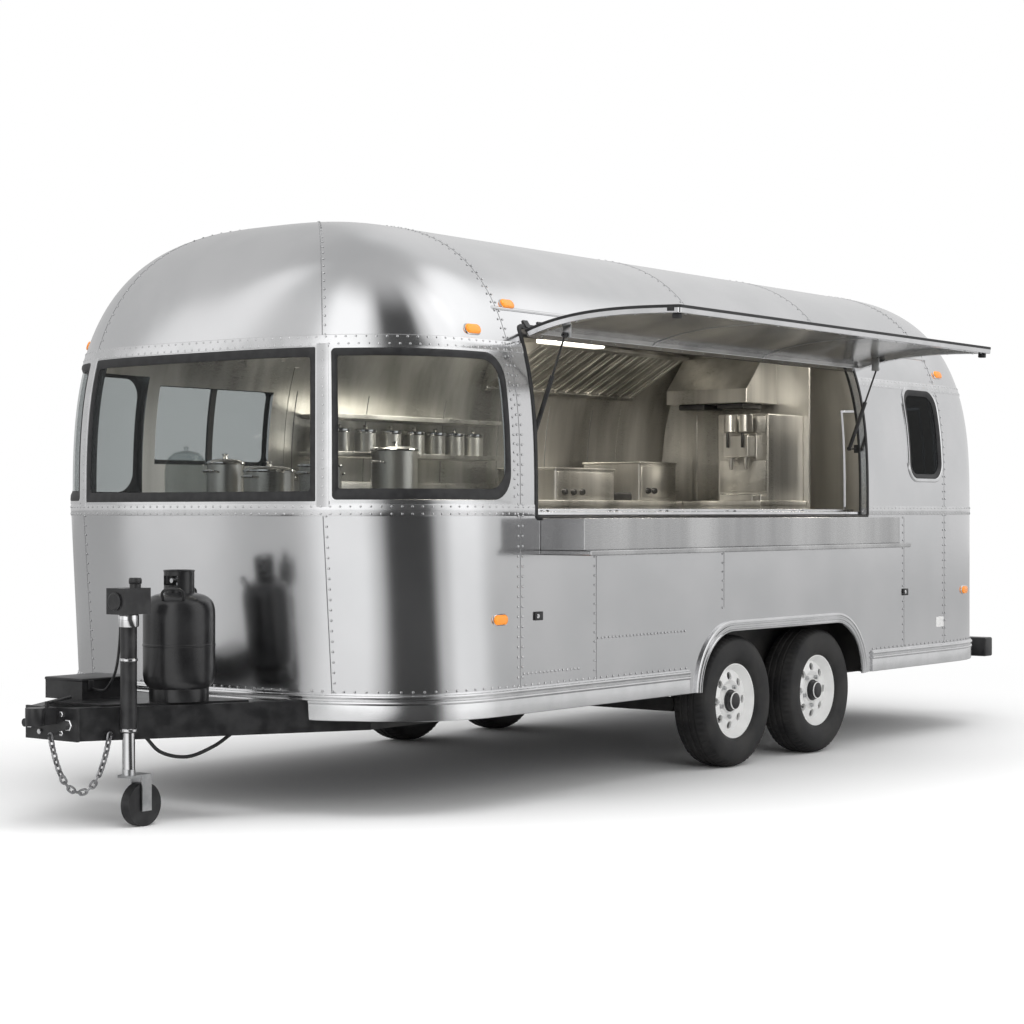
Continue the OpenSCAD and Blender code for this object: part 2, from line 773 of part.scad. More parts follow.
module strut_barrel_front() strut_barrel_at(strut_places[0]);
module strut_rod_front() strut_rod_at(strut_places[0]);
module strut_barrel_rear() strut_barrel_at(strut_places[1]);
module strut_rod_rear() strut_rod_at(strut_places[1]);

// Counter outside the serving opening, and the strip along its foot
module counter() color("lightgray") place() difference() {
    block([counter_rear, half_w, counter_top_z - counter_h],
        [counter_front, half_w + counter_depth, counter_top_z]);
    block([counter_rear + counter_t, half_w + counter_t, counter_top_z - counter_h - cut],
        [counter_front - counter_t, half_w + counter_depth - counter_t, counter_top_z - counter_t]);
}

module counter_ledge() color("lightgray") place()
    block([counter_rear - ledge_past, half_w, counter_top_z - counter_h - ledge_h],
        [counter_front, half_w + counter_depth + ledge_out, counter_top_z - counter_h]);

// Entry door in the rounded rear: a leaf of the shell's own shape on two outside hinges
door_angles = spread(door_in, door_out, door_steps);
door_heights = [door_z, belt_z, door_light_sill_z, (door_light_sill_z + door_light_head_z) / 2,
    door_light_head_z, door_top_z];
light_columns = [1, door_steps - 1];
light_rows = [2, 4];
jamb_angle = door_out + door_gap_angle;
next_angle = jamb_angle + door_gap_angle + pillar_angle;
door_edge = end_point(door_out, door_z, 0, 0);
jamb_edge = end_point(jamb_angle, door_z, 0, 0);
jamb_run = end_point(next_angle, door_z, 0, 0) - jamb_edge;
jamb_turn = atan2(jamb_run[1], jamb_run[0]);
door_run = end_point(door_angles[door_steps - 1], door_z, 0, 0) - door_edge;
door_turn = atan2(door_run[1], door_run[0]);
door_axis = (door_edge + jamb_edge) / 2 + door_axis_out * [sin(jamb_turn), -cos(jamb_turn), 0];

// Draws with x along a facet of the shell, y away from the skin and z up
module on_facet(from, turn, flip) translate([from[0], from[1], 0]) rotate([0, 0, turn])
    mirror([0, flip, 0]) children();

module entry_door() color("silver") place() at_rear() {
    end_sheet(door_angles, door_heights, 0, 1, 0, [concat(light_columns, light_rows)]);
    for (z = door_hinge_heights) difference() {
        union() {
            translate([door_axis[0], door_axis[1], z]) cylinder(h = door_knuckle_h / 2, r = door_knuckle_r);
            on_facet(door_edge, door_turn, 0) block([0, -door_leaf_t, z],
                [door_leaf, door_leaf_t, z + door_knuckle_h / 2]);
            hinge_web(door_edge, door_turn, 0, z);
        }
        translate([door_axis[0], door_axis[1], z - cut])
            cylinder(h = door_knuckle_h, r = door_pin_r + running_fit);
    }
    on_facet(end_point(door_angles[1], door_z, 0, 0), handle_turn, 0)
        translate([door_leaf, 0, handle_z]) {
            block([-handle_bar / 2, handle_out - handle_bar, -handle_l / 2],
                [handle_bar / 2, handle_out, handle_l / 2]);
            for (z = [-handle_l / 2, handle_l / 2 - handle_bar])
                block([-handle_bar / 2, -door_leaf_t, z],
                    [handle_bar / 2, handle_out - door_leaf_t, z + handle_bar]);
        }
}
handle_run = end_point(door_angles[0], door_z, 0, 0) - end_point(door_angles[1], door_z, 0, 0);
handle_turn = atan2(handle_run[1], handle_run[0]);

// The plate between a hinge leaf and its knuckle
module hinge_web(edge, turn, flip, z) translate([0, 0, z]) linear_extrude(door_knuckle_h / 2) polygon([
    [edge[0], edge[1]] + door_leaf_t * 2 * [cos(turn), sin(turn)]
        + door_leaf_t * web_low * (flip == 0 ? 1 : -1) * [-sin(turn), cos(turn)],
    [edge[0], edge[1]] + door_leaf_t * web_low * (flip == 0 ? 1 : -1) * [-sin(turn), cos(turn)],
    [door_axis[0], door_axis[1]],
    [edge[0], edge[1]] + door_leaf_t * 2 * [cos(turn), sin(turn)]
        + door_leaf_t * web_high * (flip == 0 ? 1 : -1) * [-sin(turn), cos(turn)]]);

module door_glass() color("slategray") place() at_rear()
    end_sheet(spread(door_angles[light_columns[0]] + edge_angle, door_angles[light_columns[1]] - edge_angle,
        door_steps - 2), spread(door_light_sill_z + fit * 2, door_light_head_z - fit * 2, 2),
        pane_out_share, pane_in_share, 0);

module door_hinges() color("gray") place() at_rear() for (z = door_hinge_heights) {
    low = z - door_knuckle_h / 2 - fit;
    translate([door_axis[0], door_axis[1], low]) cylinder(h = door_knuckle_h + fit, r = door_pin_r);
    translate([door_axis[0], door_axis[1], low]) cylinder(h = door_knuckle_h / 2, r = door_knuckle_r);
    on_facet(jamb_edge, jamb_turn, 1) block([0, 0, low], [door_leaf, door_leaf_t, low + door_knuckle_h / 2]);
    hinge_web(jamb_edge, jamb_turn, 1, low);
}

// Chassis rails with cross members and outriggers between them and the skirt
module chassis() color("dimgray") place() {
    both_sides() block([rail_rear, rail_y - rail_w / 2, rail_z], [rail_front, rail_y + rail_w / 2, floor_z]);
    for (x = cross_places) block([x, -rail_y + rail_w / 2 + fit, floor_z - cross_h],
        [x + cross_w, rail_y - rail_w / 2 - fit, floor_z]);
    both_sides() for (x = outrigger_places) block([x, rail_y + rail_w / 2 + fit, floor_z - cross_h / 2],
        [x + outrigger_w, inner_half - fit, floor_z]);
}

module drawbar() color("dimgray") place() {
    intersection() {
        bar_path(0, rail_z, floor_z);
        block([rail_front, -half_w, 0], [bar_front_x, half_w, roof_z]);
    }
    rod_along(chain_last - lug_way * chain_lug * 2, chain_last + lug_way * chain_lug / 2, wire_r);
}

// Coupler: end plate, neck, ball socket and locking lever
module coupler() color("dimgray") place() {
    difference() {
        union() {
            block([bar_front_x, -plate_half, rail_z], [bar_front_x + plate_t, plate_half, floor_z]);
            block([bar_front_x, -neck_w / 2, socket_z - neck_h / 2],
                [socket_x, neck_w / 2, socket_z + neck_h / 2]);
            translate([socket_x, 0, socket_z - socket_h / 2]) cylinder(h = socket_h, r = socket_r);
        }
        translate([socket_x, 0, socket_z - socket_h])
            cylinder(h = socket_h + ball_r / 2, r = ball_r + running_fit * 4);
    }
    rod_along([socket_x - socket_r * 1.5, 0, socket_z],
        [socket_x - socket_r * 1.5, 0, socket_z + lever_rise], lever_r);
    rod_along([socket_x - socket_r * 1.5, 0, socket_z + lever_rise - lever_r],
        [socket_x - socket_r * 1.5 - lever_l, 0, socket_z + lever_rise + lever_r], lever_r * grip_share);
    for (y = [-1, 1]) rod_along(
        [bar_front_x + plate_t / 2, y * (plate_half - socket_r), socket_z - neck_h / 2],
        [bar_front_x + plate_t + socket_r, y * (plate_half - socket_r), socket_z - neck_h / 2], lever_r * 2);
    rod_along(chain_first - first_way * (chain_first[0] - bar_front_x - plate_t / 2) / first_way[0],
        chain_first + first_way * chain_lug, wire_r);
}

module bumper() color("black") place() {
    block([bumper_x - bumper_d / 2, -bumper_half, bumper_z],
        [bumper_x + bumper_d / 2, bumper_half, bumper_z + bumper_h]);
    both_sides() block([bumper_x + bumper_d / 2, rail_y - bumper_arm_t / 2, rail_z + bumper_arm_t],
        [rail_rear, rail_y + bumper_arm_t / 2, skirt_z - fit]);
}

// Torsion axle: square tube under the rails, trailing arms and spindles
module axle(x) color("dimgray") place() {
    tube_x = x + torsion_ahead;
    tube_z = rail_z - axle_seat - torsion_s / 2;
    block([tube_x - torsion_s / 2, -arm_in - arm_t, tube_z - torsion_s / 2],
        [tube_x + torsion_s / 2, arm_in + arm_t, tube_z + torsion_s / 2]);
    both_sides() {
        block([tube_x - torsion_s, rail_y - hanger_w / 2, tube_z + torsion_s / 2],
            [tube_x + torsion_s, rail_y + hanger_w / 2, rail_z]);
        block([x - arm_h / 2, arm_in, axle_z - arm_h / 2], [tube_x, arm_in + arm_t, axle_z + arm_h / 4]);
        rod_along([x, arm_in, axle_z], [x, track_half + tyre_w / 4, axle_z], spindle_r);
    }
}
module axle_front() axle(axle_gap / 2);
module axle_rear() axle(-axle_gap / 2);

// Wheels, drawn about the X axis of a flat section and turned to face the side
module wheel_at(x, side) place() translate([x, 0, axle_z]) mirror([0, side, 0]) translate([0, track_half, 0])
    rotate([-90, 0, 0]) children();

tyre_shares = [[0, 0.36], [0.12, 0.44], [0.4, 0.5], [0.72, 0.47], [0.9, 0.42], [0.97, 0.36], [1, 0.26]];
module tyre() color("black") rotate_extrude() polygon(concat(
    [for (s = tyre_shares) [rim_r + s[0] * (tyre_r - rim_r), s[1] * tyre_w]],
    [for (s = backwards(tyre_shares)) [rim_r + s[0] * (tyre_r - rim_r), -s[1] * tyre_w]]));

rim_half = tyre_w * tyre_shares[0][1];
disc_y = tyre_w * 0.16;
module rim() color("white") {
    difference() {
        rotate_extrude() polygon([[rim_r - fit, rim_half], [rim_r - fit, -rim_half],
            [rim_r - rim_wall, -rim_half],
            [rim_r - rim_drop, -rim_half / 2], [rim_r - rim_drop, 0], [rim_r - rim_drop, disc_y - disc_t],
            [stud_ring + stud_r * 2, disc_y], [stud_ring, disc_y - disc_t], [hub_r, disc_y - disc_t],
            [hub_r, disc_y], [stud_ring, disc_y], [stud_ring + stud_r * 2, disc_y + disc_t],
            [rim_r - rim_drop, disc_y], [rim_r - rim_wall, rim_half]]);
        for (i = [0:wheel_holes - 1]) rotate([0, 0, 360 * i / wheel_holes])
            translate([hole_ring, 0, -tyre_w / 2])
            cylinder(h = tyre_w, r = hole_r);
    }
    difference() {
        union() {
            translate([0, 0, disc_y - disc_t * 2]) cylinder(h = disc_t, r = drum_r - hole_r);
            translate([0, 0, disc_y - disc_t * 2]) cylinder(h = disc_t * 3, r = hub_r + fit);
            translate([0, 0, disc_y + disc_t - fit]) cylinder(h = disc_t * 3, r = hub_cap_r);
            translate([0, 0, -tyre_w / 4]) cylinder(h = tyre_w / 4 + disc_y - disc_t, r = hub_r);
        }
        translate([0, 0, -tyre_w]) cylinder(h = tyre_w + tyre_w / 4 + fit, r = spindle_r + running_fit);
    }
}

module tyre_front_left() wheel_at(axle_gap / 2, 0) tyre();
module tyre_front_right() wheel_at(axle_gap / 2, 1) tyre();
module tyre_rear_left() wheel_at(-axle_gap / 2, 0) tyre();
module tyre_rear_right() wheel_at(-axle_gap / 2, 1) tyre();
module rim_front_left() wheel_at(axle_gap / 2, 0) rim();
module rim_front_right() wheel_at(axle_gap / 2, 1) rim();
module rim_rear_left() wheel_at(-axle_gap / 2, 0) rim();
module rim_rear_right() wheel_at(-axle_gap / 2, 1) rim();

// Jack: tube clamped to the left drawbar rail, head with its knob, sliding leg, fork and caster
module at_jack() place() translate([jack_x, jack_y, 0]) children();

module jack_tube() color("black") at_jack() difference() {
    union() {
        translate([0, 0, jack_bottom]) cylinder(h = jack_top - jack_bottom, r = jack_r);
        translate([0, 0, collar_z]) cylinder(h = collar_ring_h, r = jack_r + collar_ring_t);
        difference() {
            rotate([0, 0, -bar_angle]) block([-clamp_w / 2, -jack_r * 3, clamp_z],
                [clamp_w / 2, -jack_wall / 2, clamp_z + clamp_h]);
            translate([-jack_x, -jack_y, 0]) bar_path(fit, rail_z - cut, floor_z + cut);
        }
    }
    translate([0, 0, jack_bottom - cut]) cylinder(h = jack_top - jack_bottom, r = jack_r - jack_wall);
}

module jack_head() color("black") at_jack() {
    block([-head_l / 2, -head_w / 2, collar_z + collar_ring_h],
        [head_l / 2, head_w / 2, collar_z + collar_ring_h + head_h]);
    translate([-head_l / 4, 0, collar_z + collar_ring_h + head_h]) cylinder(h = knob_h, r = knob_r);
}

module jack_leg() color("gray") at_jack() translate([0, 0, leg_bottom]) difference() {
    cylinder(h = leg_top - leg_bottom, r = leg_r);
    translate([0, 0, -cut]) cylinder(h = pivot_h + cut, r = pivot_r + running_fit);
}

module caster_fork() color("silver") at_jack() {
    translate([0, 0, fork_top]) cylinder(h = leg_bottom - fork_top - fit, r = swivel_r);
    translate([0, 0, fork_top]) cylinder(h = leg_bottom - fork_top + pivot_h - fit, r = pivot_r);
    half = caster_w / 2 + fork_gap;
    block([-caster_trail - fork_w / 2, -half - fork_t, fork_top - fork_cap_t],
        [swivel_r, half + fork_t, fork_top]);
    for (s = [0, 1]) mirror([0, s, 0]) block([-caster_trail - fork_w / 2, half, caster_r - fork_w / 2],
        [-caster_trail + fork_w / 2, half + fork_t, fork_top]);
    rod_along([-caster_trail, -half - fork_t, caster_r],
        [-caster_trail, half + fork_t, caster_r], caster_axle_r);
}

module caster_wheel() color("black") at_jack() translate([-caster_trail, 0, caster_r]) rotate([90, 0, 0])
    difference() {
        cylinder(h = caster_w, r = caster_r, center = true);
        cylinder(h = caster_w * 2, r = caster_axle_r + running_fit, center = true);
    }

// Gas bottle on the drawbar's tray
bottle_z = floor_z + tray_t;
module gas_bottle() color("black") place() translate([bottle_x, bottle_y, bottle_z]) {
    rotate_extrude() polygon([[0, bottle_foot_h], [bottle_r / 2, bottle_foot_h / 2],
        [bottle_r * 0.75, bottle_foot_h / 2], [bottle_r * 0.75, 0], [bottle_r * 0.82, 0],
        [bottle_r * 0.82, bottle_foot_h], [bottle_r, bottle_foot_h * 2],
        [bottle_r, bottle_h - bottle_shoulder], [bottle_r * 0.9, bottle_h - bottle_shoulder / 2],
        [bottle_r * 0.66, bottle_h - bottle_shoulder / 6], [bottle_r * 0.3, bottle_h], [0, bottle_h]]);
    translate([0, 0, bottle_h - bottle_shoulder / 3]) difference() {
        cylinder(h = collar_h + bottle_shoulder / 3, r = collar_r);
        translate([0, 0, -cut]) cylinder(h = collar_h * 2, r = collar_r - collar_t);
        translate([0, -collar_r * 0.6, bottle_shoulder / 2])
            cube([collar_r * 2, collar_r * 1.2, collar_h * 0.6]);
    }
    translate([0, 0, bottle_h - fit]) cylinder(h = valve_h, r = valve_r);
}

module drawbar_tray() color("dimgray") place() {
    translate([0, 0, floor_z]) linear_extrude(tray_t) polygon([for (p = [[tray_rear, 1], [tray_front, 1],
        [tray_front, -1], [tray_rear, -1]])
        [p[0], p[1] * (bar_front_y + (bar_front_x - p[0]) * tan(bar_angle) - bar_w / 4)]]);
    block([box_x - box_l / 2, box_y - box_w / 2, bottle_z - fit],
        [box_x + box_l / 2, box_y + box_w / 2, bottle_z + box_h]);
}

// Chain of interlocking links hung between two points, each link a rounded wire loop
chain_half = norm(chain_end - chain_start) / 2;
chain_length = 2 * chain_c * sinh(chain_half / chain_c);
function sinh(x) = (exp(x) - exp(-x)) / 2;
function asinh(x) = ln(x + sqrt(x * x + 1));
function chain_at(t) =
    let (s = (t - 0.5) * chain_length, run = chain_c * asinh(s / chain_c),
        low = sqrt(chain_c * chain_c + s * s) - sqrt(chain_c * chain_c + chain_length * chain_length / 4))
    (chain_start + chain_end) / 2 + run * unit(chain_end - chain_start) + [0, 0, low];
link_sides = 6;
bow_steps = 5;
link_bow = link_gap / 2 + wire_r;
function link_path(half) = [for (s = [1, -1]) for (a = spread(0, 180, bow_steps))
    [[s * link_bow * cos(a), s * (half + link_bow * sin(a))], [s * cos(a), s * sin(a)]]];
chain_first = chain_start + (wire_r + fit / 2) * unit(chain_at(1 / chain_links) - chain_start);
chain_last = chain_end + (wire_r + fit / 2) * unit(chain_at(1 - 1 / chain_links) - chain_end);
first_frame = turned(chain_at(1 / chain_links) - chain_start);
first_way = [first_frame[0][1], first_frame[1][1], first_frame[2][1]];
last_frame = turned(chain_at(1 - 1 / chain_links) - chain_end);
lug_way = [last_frame[0][0], last_frame[1][0], last_frame[2][0]];
module link_shape(half) {
    path = link_path(half);
    n = len(path);
    points = [for (p = path) for (k = [0:link_sides - 1]) let (a = 360 * k / link_sides)
        [p[0][0] + wire_r * cos(a) * p[1][0], wire_r * sin(a), p[0][1] + wire_r * cos(a) * p[1][1]]];
    function at(i, k) = (i % n) * link_sides + k % link_sides;
    polyhedron(points, joined([for (i = [0:n - 1]) for (k = [0:link_sides - 1])
        [[at(i, k), at(i, k + 1), at(i + 1, k + 1)], [at(i, k), at(i + 1, k + 1), at(i + 1, k)]]]));
}
module chain_link(from, to, roll) translate((from + to) / 2) multmatrix(turned(to - from))
    rotate([0, 0, roll]) link_shape((norm(to - from) + fit - link_gap) / 2);
module safety_chain() color("silver") place() for (i = [0:chain_links - 1])
    chain_link(chain_at(i / chain_links), chain_at((i + 1) / chain_links), i % 2 * 90);

// Lamps stand on the skin: a rounded base with a smaller lens on it
module lamp_shape() {
    for (step = [[1, 0], [0.8, 1]]) translate([0, 0, step[1] * lamp_t / 2]) linear_extrude(lamp_t / 2)
        rounded(lamp_l * step[0], lamp_w * step[0], lamp_w * step[0] / 2 - fit);
}
// Lays what is drawn flat on the skin: u and v run along the seat, c is its middle
module seated(u, v, c) {
    w = cross(u, v);
    m = c + w * fit;
    multmatrix([[u[0], v[0], w[0], m[0]], [u[1], v[1], w[1], m[1]], [u[2], v[2], w[2], m[2]], [0, 0, 0, 1]])
        children();
}
// Seats what is drawn on one upright rib of a rounded end, some share of the way up a row of it
module on_rib(angles, heights, i, j, most, share) {
    p = end_point(angles[i], heights[j], 0, most);
    q = end_point(angles[i], heights[j + 1], 0, most);
    v = unit(q - p);
    across = end_point(angles[i + 1], heights[j], 0, most) - end_point(angles[i - 1], heights[j], 0, most);
    seated(unit(across - v * (across * v)), v, p + (q - p) * share) children();
}
// Seats what is drawn on the lowest strip of the roof
module on_roof(x, share) {
    zs = shoulder_z(wall_top_z, roof_z, dome_steps);
    p = side_point(zs[0], 0);
    q = side_point(zs[1], 0);
    v = unit([0, q[0] - p[0], q[1] - p[1]]);
    seated([-1, 0, 0], v, [x, p[0] + (q[0] - p[0]) * share, p[1] + (q[1] - p[1]) * share]) children();
}
dome_lamp_ribs = [7, len(end_angles) - 4];
corner_lamp_ribs = [2, len(end_angles) - 3];
rear_dome_lamp_ribs = [2, len(rear_angles) - 2];
rear_corner_lamp_ribs = [4, len(rear_angles) - 4];
tail_lamp_ribs = [9, len(rear_angles) - 9];
module marker_lamps() color("orange") place() {
    both_sides() on_roof(roof_lamp_x, roof_lamp_share) lamp_shape();
    at_front() {
        for (i = dome_lamp_ribs) on_rib(end_angles, dome_heights, i, 0, 0, dome_lamp_share) lamp_shape();
        for (i = corner_lamp_ribs) on_rib(end_angles, front_heights, i, 1, front_tuck, corner_lamp_share)
            lamp_shape();
    }
    at_rear() {
        for (i = rear_dome_lamp_ribs) on_rib(rear_angles, dome_heights, i, 0, 0, rear_lamp_share)
            lamp_shape();
        for (i = rear_corner_lamp_ribs) on_rib(rear_angles, rear_heights, i, 1, 0, corner_lamp_share)
            lamp_shape();
    }
}

module tail_lamps() color("red") place() at_rear() for (i = tail_lamp_ribs)
    on_rib(rear_angles, rear_heights, i, 1, 0, tail_lamp_share) cylinder(h = tail_lamp_t, r = tail_lamp_r);

// Galley: worktops, the rear bulkhead and the equipment seen through the opening and the glass
function inner_waist(z) = pow(1 - pow(max(0, min(1, (z - belt_z) / (crown_h - wall_t))), fullness),
    1 / fullness);
function bulkhead_half(z) = let (s = inner_waist(z),
        d = (-bulkhead_x - rear_start) / ((end_reach - wall_t) * s))
    inner_half * s * pow(1 - pow(min(1, d), fullness), 1 / fullness) - bulkhead_gap;
module bulkhead() color("lightgray") place() along(bulkhead_x, bulkhead_x + bulkhead_t)
    let (zs = concat([floor_top], spread(belt_z, bulkhead_top, bulkhead_steps)))
    polygon(concat([[bulkhead_left, floor_top], [bulkhead_left, bulkhead_top]],
        [for (z = backwards(zs)) [-bulkhead_half(z), z]]));

// What fills the right wall and roof, a hair thicker inwards, to trim fittings that stand against them
module right_skin() mirror([0, 1, 0]) {
    along(-rear_start - cut, front_start) side_strip(side_heights, -skin_reach / wall_t, 1 + fit / wall_t);
    along(-rear_start - cut, front_start) side_strip(shoulder_z(wall_top_z, roof_z, dome_steps),
        -skin_reach / wall_t,
        1 + fit / wall_t);
}

right_face = -inner_half + fit;
rear_face = bulkhead_x + bulkhead_t;
module worktops() color("lightgray") place() {
    back = right_face + worktop_d;
    block([-rear_start, right_face, floor_top], [-well_half - fit, back, worktop_z]);
    block([-well_half, right_face, well_top + fit], [well_half, back, worktop_z]);
    block([-well_half, -well_in + fit, floor_top], [well_half, back, well_top]);
    block([well_half + fit, right_face, floor_top], [right_top_front, back, worktop_z]);
    block([rear_face, back + fit, floor_top], [rear_face + rear_top_d, rear_top_left, worktop_z]);
    block([front_top_x, -front_top_half, floor_top],
        [front_top_x + front_top_d, front_top_half / 2, worktop_z]);
}

module filter_hood() color("gainsboro") place() difference() {
    along(hood_rear, hood_front) polygon([[-inner_half, hood_z], [-inner_half, hood_z + hood_h],
        [-inner_half + hood_d, hood_z + hood_h]]);
    right_skin();
}
module canopy_hood() color("gainsboro") place() translate([0, canopy_left, 0]) rotate([90, 0, 0])
    linear_extrude(canopy_w) polygon([[rear_face, canopy_z], [rear_face + canopy_d, canopy_z],
        [rear_face + canopy_d, canopy_z + canopy_lip],
        [rear_face + canopy_d * canopy_top_share, canopy_z + canopy_h],
        [rear_face, canopy_z + canopy_h]]);

module ice_cream_machine() color("silver") place() translate([rear_face, machine_y, worktop_z]) {
    block([0, -machine_w / 2, 0], [machine_d, machine_w / 2, machine_h]);
    block([machine_d - fit, -machine_w / 4, machine_h / 2],
        [machine_d + machine_nose, machine_w / 4, machine_h * 0.75]);
    block([machine_d - fit, -machine_w / 3, 0], [machine_d + machine_nose, machine_w / 3, machine_tray_h]);
}

module galley_units() color("silver") place() {
    block([warmer_x - warmer_l / 2, warmer_y - warmer_w / 2, worktop_z],
        [warmer_x + warmer_l / 2, warmer_y + warmer_w / 2, worktop_z + warmer_h]);
    block([griddle_x - griddle_l / 2, warmer_y - warmer_w / 2, worktop_z],
        [griddle_x + griddle_l / 2, warmer_y + warmer_w / 2, worktop_z + griddle_h]);
}

module wall_shelves() color("silver") place() for (z = shelf_heights) difference() {
    block([shelf_rear, -inner_half, z], [shelf_front, -inner_half + shelf_d, z + shelf_t]);
    right_skin();
}

module pots() color("silver") place() {
    for (x = canister_places) translate([x, -inner_half + shelf_d / 2 + cut, shelf_heights[0] + shelf_t])
        cylinder(h = canister_h, r = canister_r);
    for (p = pot_places) translate([p[0], p[1], worktop_z]) cylinder(h = p[3], r = p[2]);
}

module glass_jar() color("lightblue") place() translate([jar_place[0], jar_place[1], worktop_z])
    cylinder(h = jar_h, r = jar_r);

module ceiling_lamp() color("white") place()
    translate([tube_front - tube_l, -tube_w / 2, roof_z - wall_t - tube_h - fit * 3])
        cube([tube_l, tube_w, tube_h]);

floor();
front_wall();
front_dome();
left_wall();
right_wall();
roof();
rear_wall();
rear_dome();
skirt_rail();
arch_trim();
wheel_wells();
front_glass();
side_windows();
hatch();
hatch_hinge();
strut_brackets();
strut_barrel_front();
strut_rod_front();
strut_barrel_rear();
strut_rod_rear();
counter();
counter_ledge();
entry_door();
door_glass();
door_hinges();
chassis();
drawbar();
coupler();
bumper();
axle_front();
axle_rear();
tyre_front_left();
tyre_front_right();
tyre_rear_left();
tyre_rear_right();
rim_front_left();
rim_front_right();
rim_rear_left();
rim_rear_right();
jack_tube();
jack_head();
jack_leg();
caster_fork();
caster_wheel();
gas_bottle();
drawbar_tray();
safety_chain();
marker_lamps();
tail_lamps();
worktops();
bulkhead();
filter_hood();
canopy_hood();
ice_cream_machine();
galley_units();
wall_shelves();
pots();
glass_jar();
ceiling_lamp();
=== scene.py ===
"""Looks of the riveted aluminium ice cream trailer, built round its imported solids.

The rounded skin is worked out from one formula, the same as in the part's source, so every strip, rivet,
pane and gasket lies on it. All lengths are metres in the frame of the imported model.
"""

from __future__ import annotations

import logging
import math
from collections.abc import Sequence
from dataclasses import dataclass, field
from enum import Enum

import bmesh
import bpy
import numpy as np
from mathutils import Matrix, Vector


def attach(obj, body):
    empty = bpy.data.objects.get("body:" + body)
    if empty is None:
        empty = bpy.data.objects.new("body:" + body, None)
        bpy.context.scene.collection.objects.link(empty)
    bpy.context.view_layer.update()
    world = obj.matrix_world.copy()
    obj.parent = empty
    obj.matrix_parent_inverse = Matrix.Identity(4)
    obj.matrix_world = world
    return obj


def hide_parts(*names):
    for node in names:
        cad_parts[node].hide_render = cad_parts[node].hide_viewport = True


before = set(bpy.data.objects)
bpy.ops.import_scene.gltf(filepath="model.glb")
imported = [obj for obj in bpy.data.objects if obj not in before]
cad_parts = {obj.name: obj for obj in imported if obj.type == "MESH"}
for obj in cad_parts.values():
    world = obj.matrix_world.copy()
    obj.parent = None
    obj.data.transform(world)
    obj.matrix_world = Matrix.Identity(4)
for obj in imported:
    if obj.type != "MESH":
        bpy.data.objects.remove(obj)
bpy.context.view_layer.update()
LOG = logging.getLogger("trailer")
Array = np.ndarray
Colour = tuple[float, float, float]

# From the axles' midpoint, where the shapes below are drawn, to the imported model's origin.
SHIFT = np.array([-0.610, -0.376132, 0.0])
# Heights of the front panes, and plan angles of the centre pane's end and the corner panes' ends.
PANE_Z = (1.380, 2.045)
CENTRE_PANE = 33.0
CORNER_PANE = (36.5, 87.5)
# Half length, height and corner radius of the wheel arches.
ARCH_HALF, ARCH_Z, ARCH_R = 0.900, 0.770, 0.360
# Plan angles and heights of the entry door's leaf.
DOOR_ANGLES, DOOR_Z = (4.0, 32.0), (0.560, 2.010)
# Radius and height of a rivet's head.
RIVET_R, RIVET_H = 0.0062, 0.0028


class Socket:
    """A shader value whose operators add Math nodes."""

    def __init__(self, tree: Tree, link: bpy.types.NodeSocket) -> None:
        """Keeps the socket and the tree it belongs to."""
        self.tree = tree
        self.link = link

    def _math(self, operation: str, first: object, second: object) -> Socket:
        """One Math node on two values."""
        return self.tree.add("ShaderNodeMath", {"operation": operation}, {0: first, 1: second})

    def __add__(self, other: object) -> Socket:
        """Sum."""
        return self._math("ADD", self, other)

    def __radd__(self, other: object) -> Socket:
        """Sum with a number on the left."""
        return self._math("ADD", other, self)

    def __sub__(self, other: object) -> Socket:
        """Difference."""
        return self._math("SUBTRACT", self, other)

    def __rsub__(self, other: object) -> Socket:
        """Difference from a number on the left."""
        return self._math("SUBTRACT", other, self)

    def __mul__(self, other: object) -> Socket:
        """Product."""
        return self._math("MULTIPLY", self, other)

    def __rmul__(self, other: object) -> Socket:
        """Product with a number on the left."""
        return self._math("MULTIPLY", other, self)

    def __pow__(self, other: object) -> Socket:
        """Power."""
        return self._math("POWER", self, other)

    def between(self, low: float, high: float) -> Socket:
        """A smooth step from 0 at low to 1 at high."""
        return self.tree.add(
            "ShaderNodeMapRange",
            {"interpolation_type": "SMOOTHSTEP"},
            {0: self, 1: low, 2: high, 3: 0.0, 4: 1.0},
        )


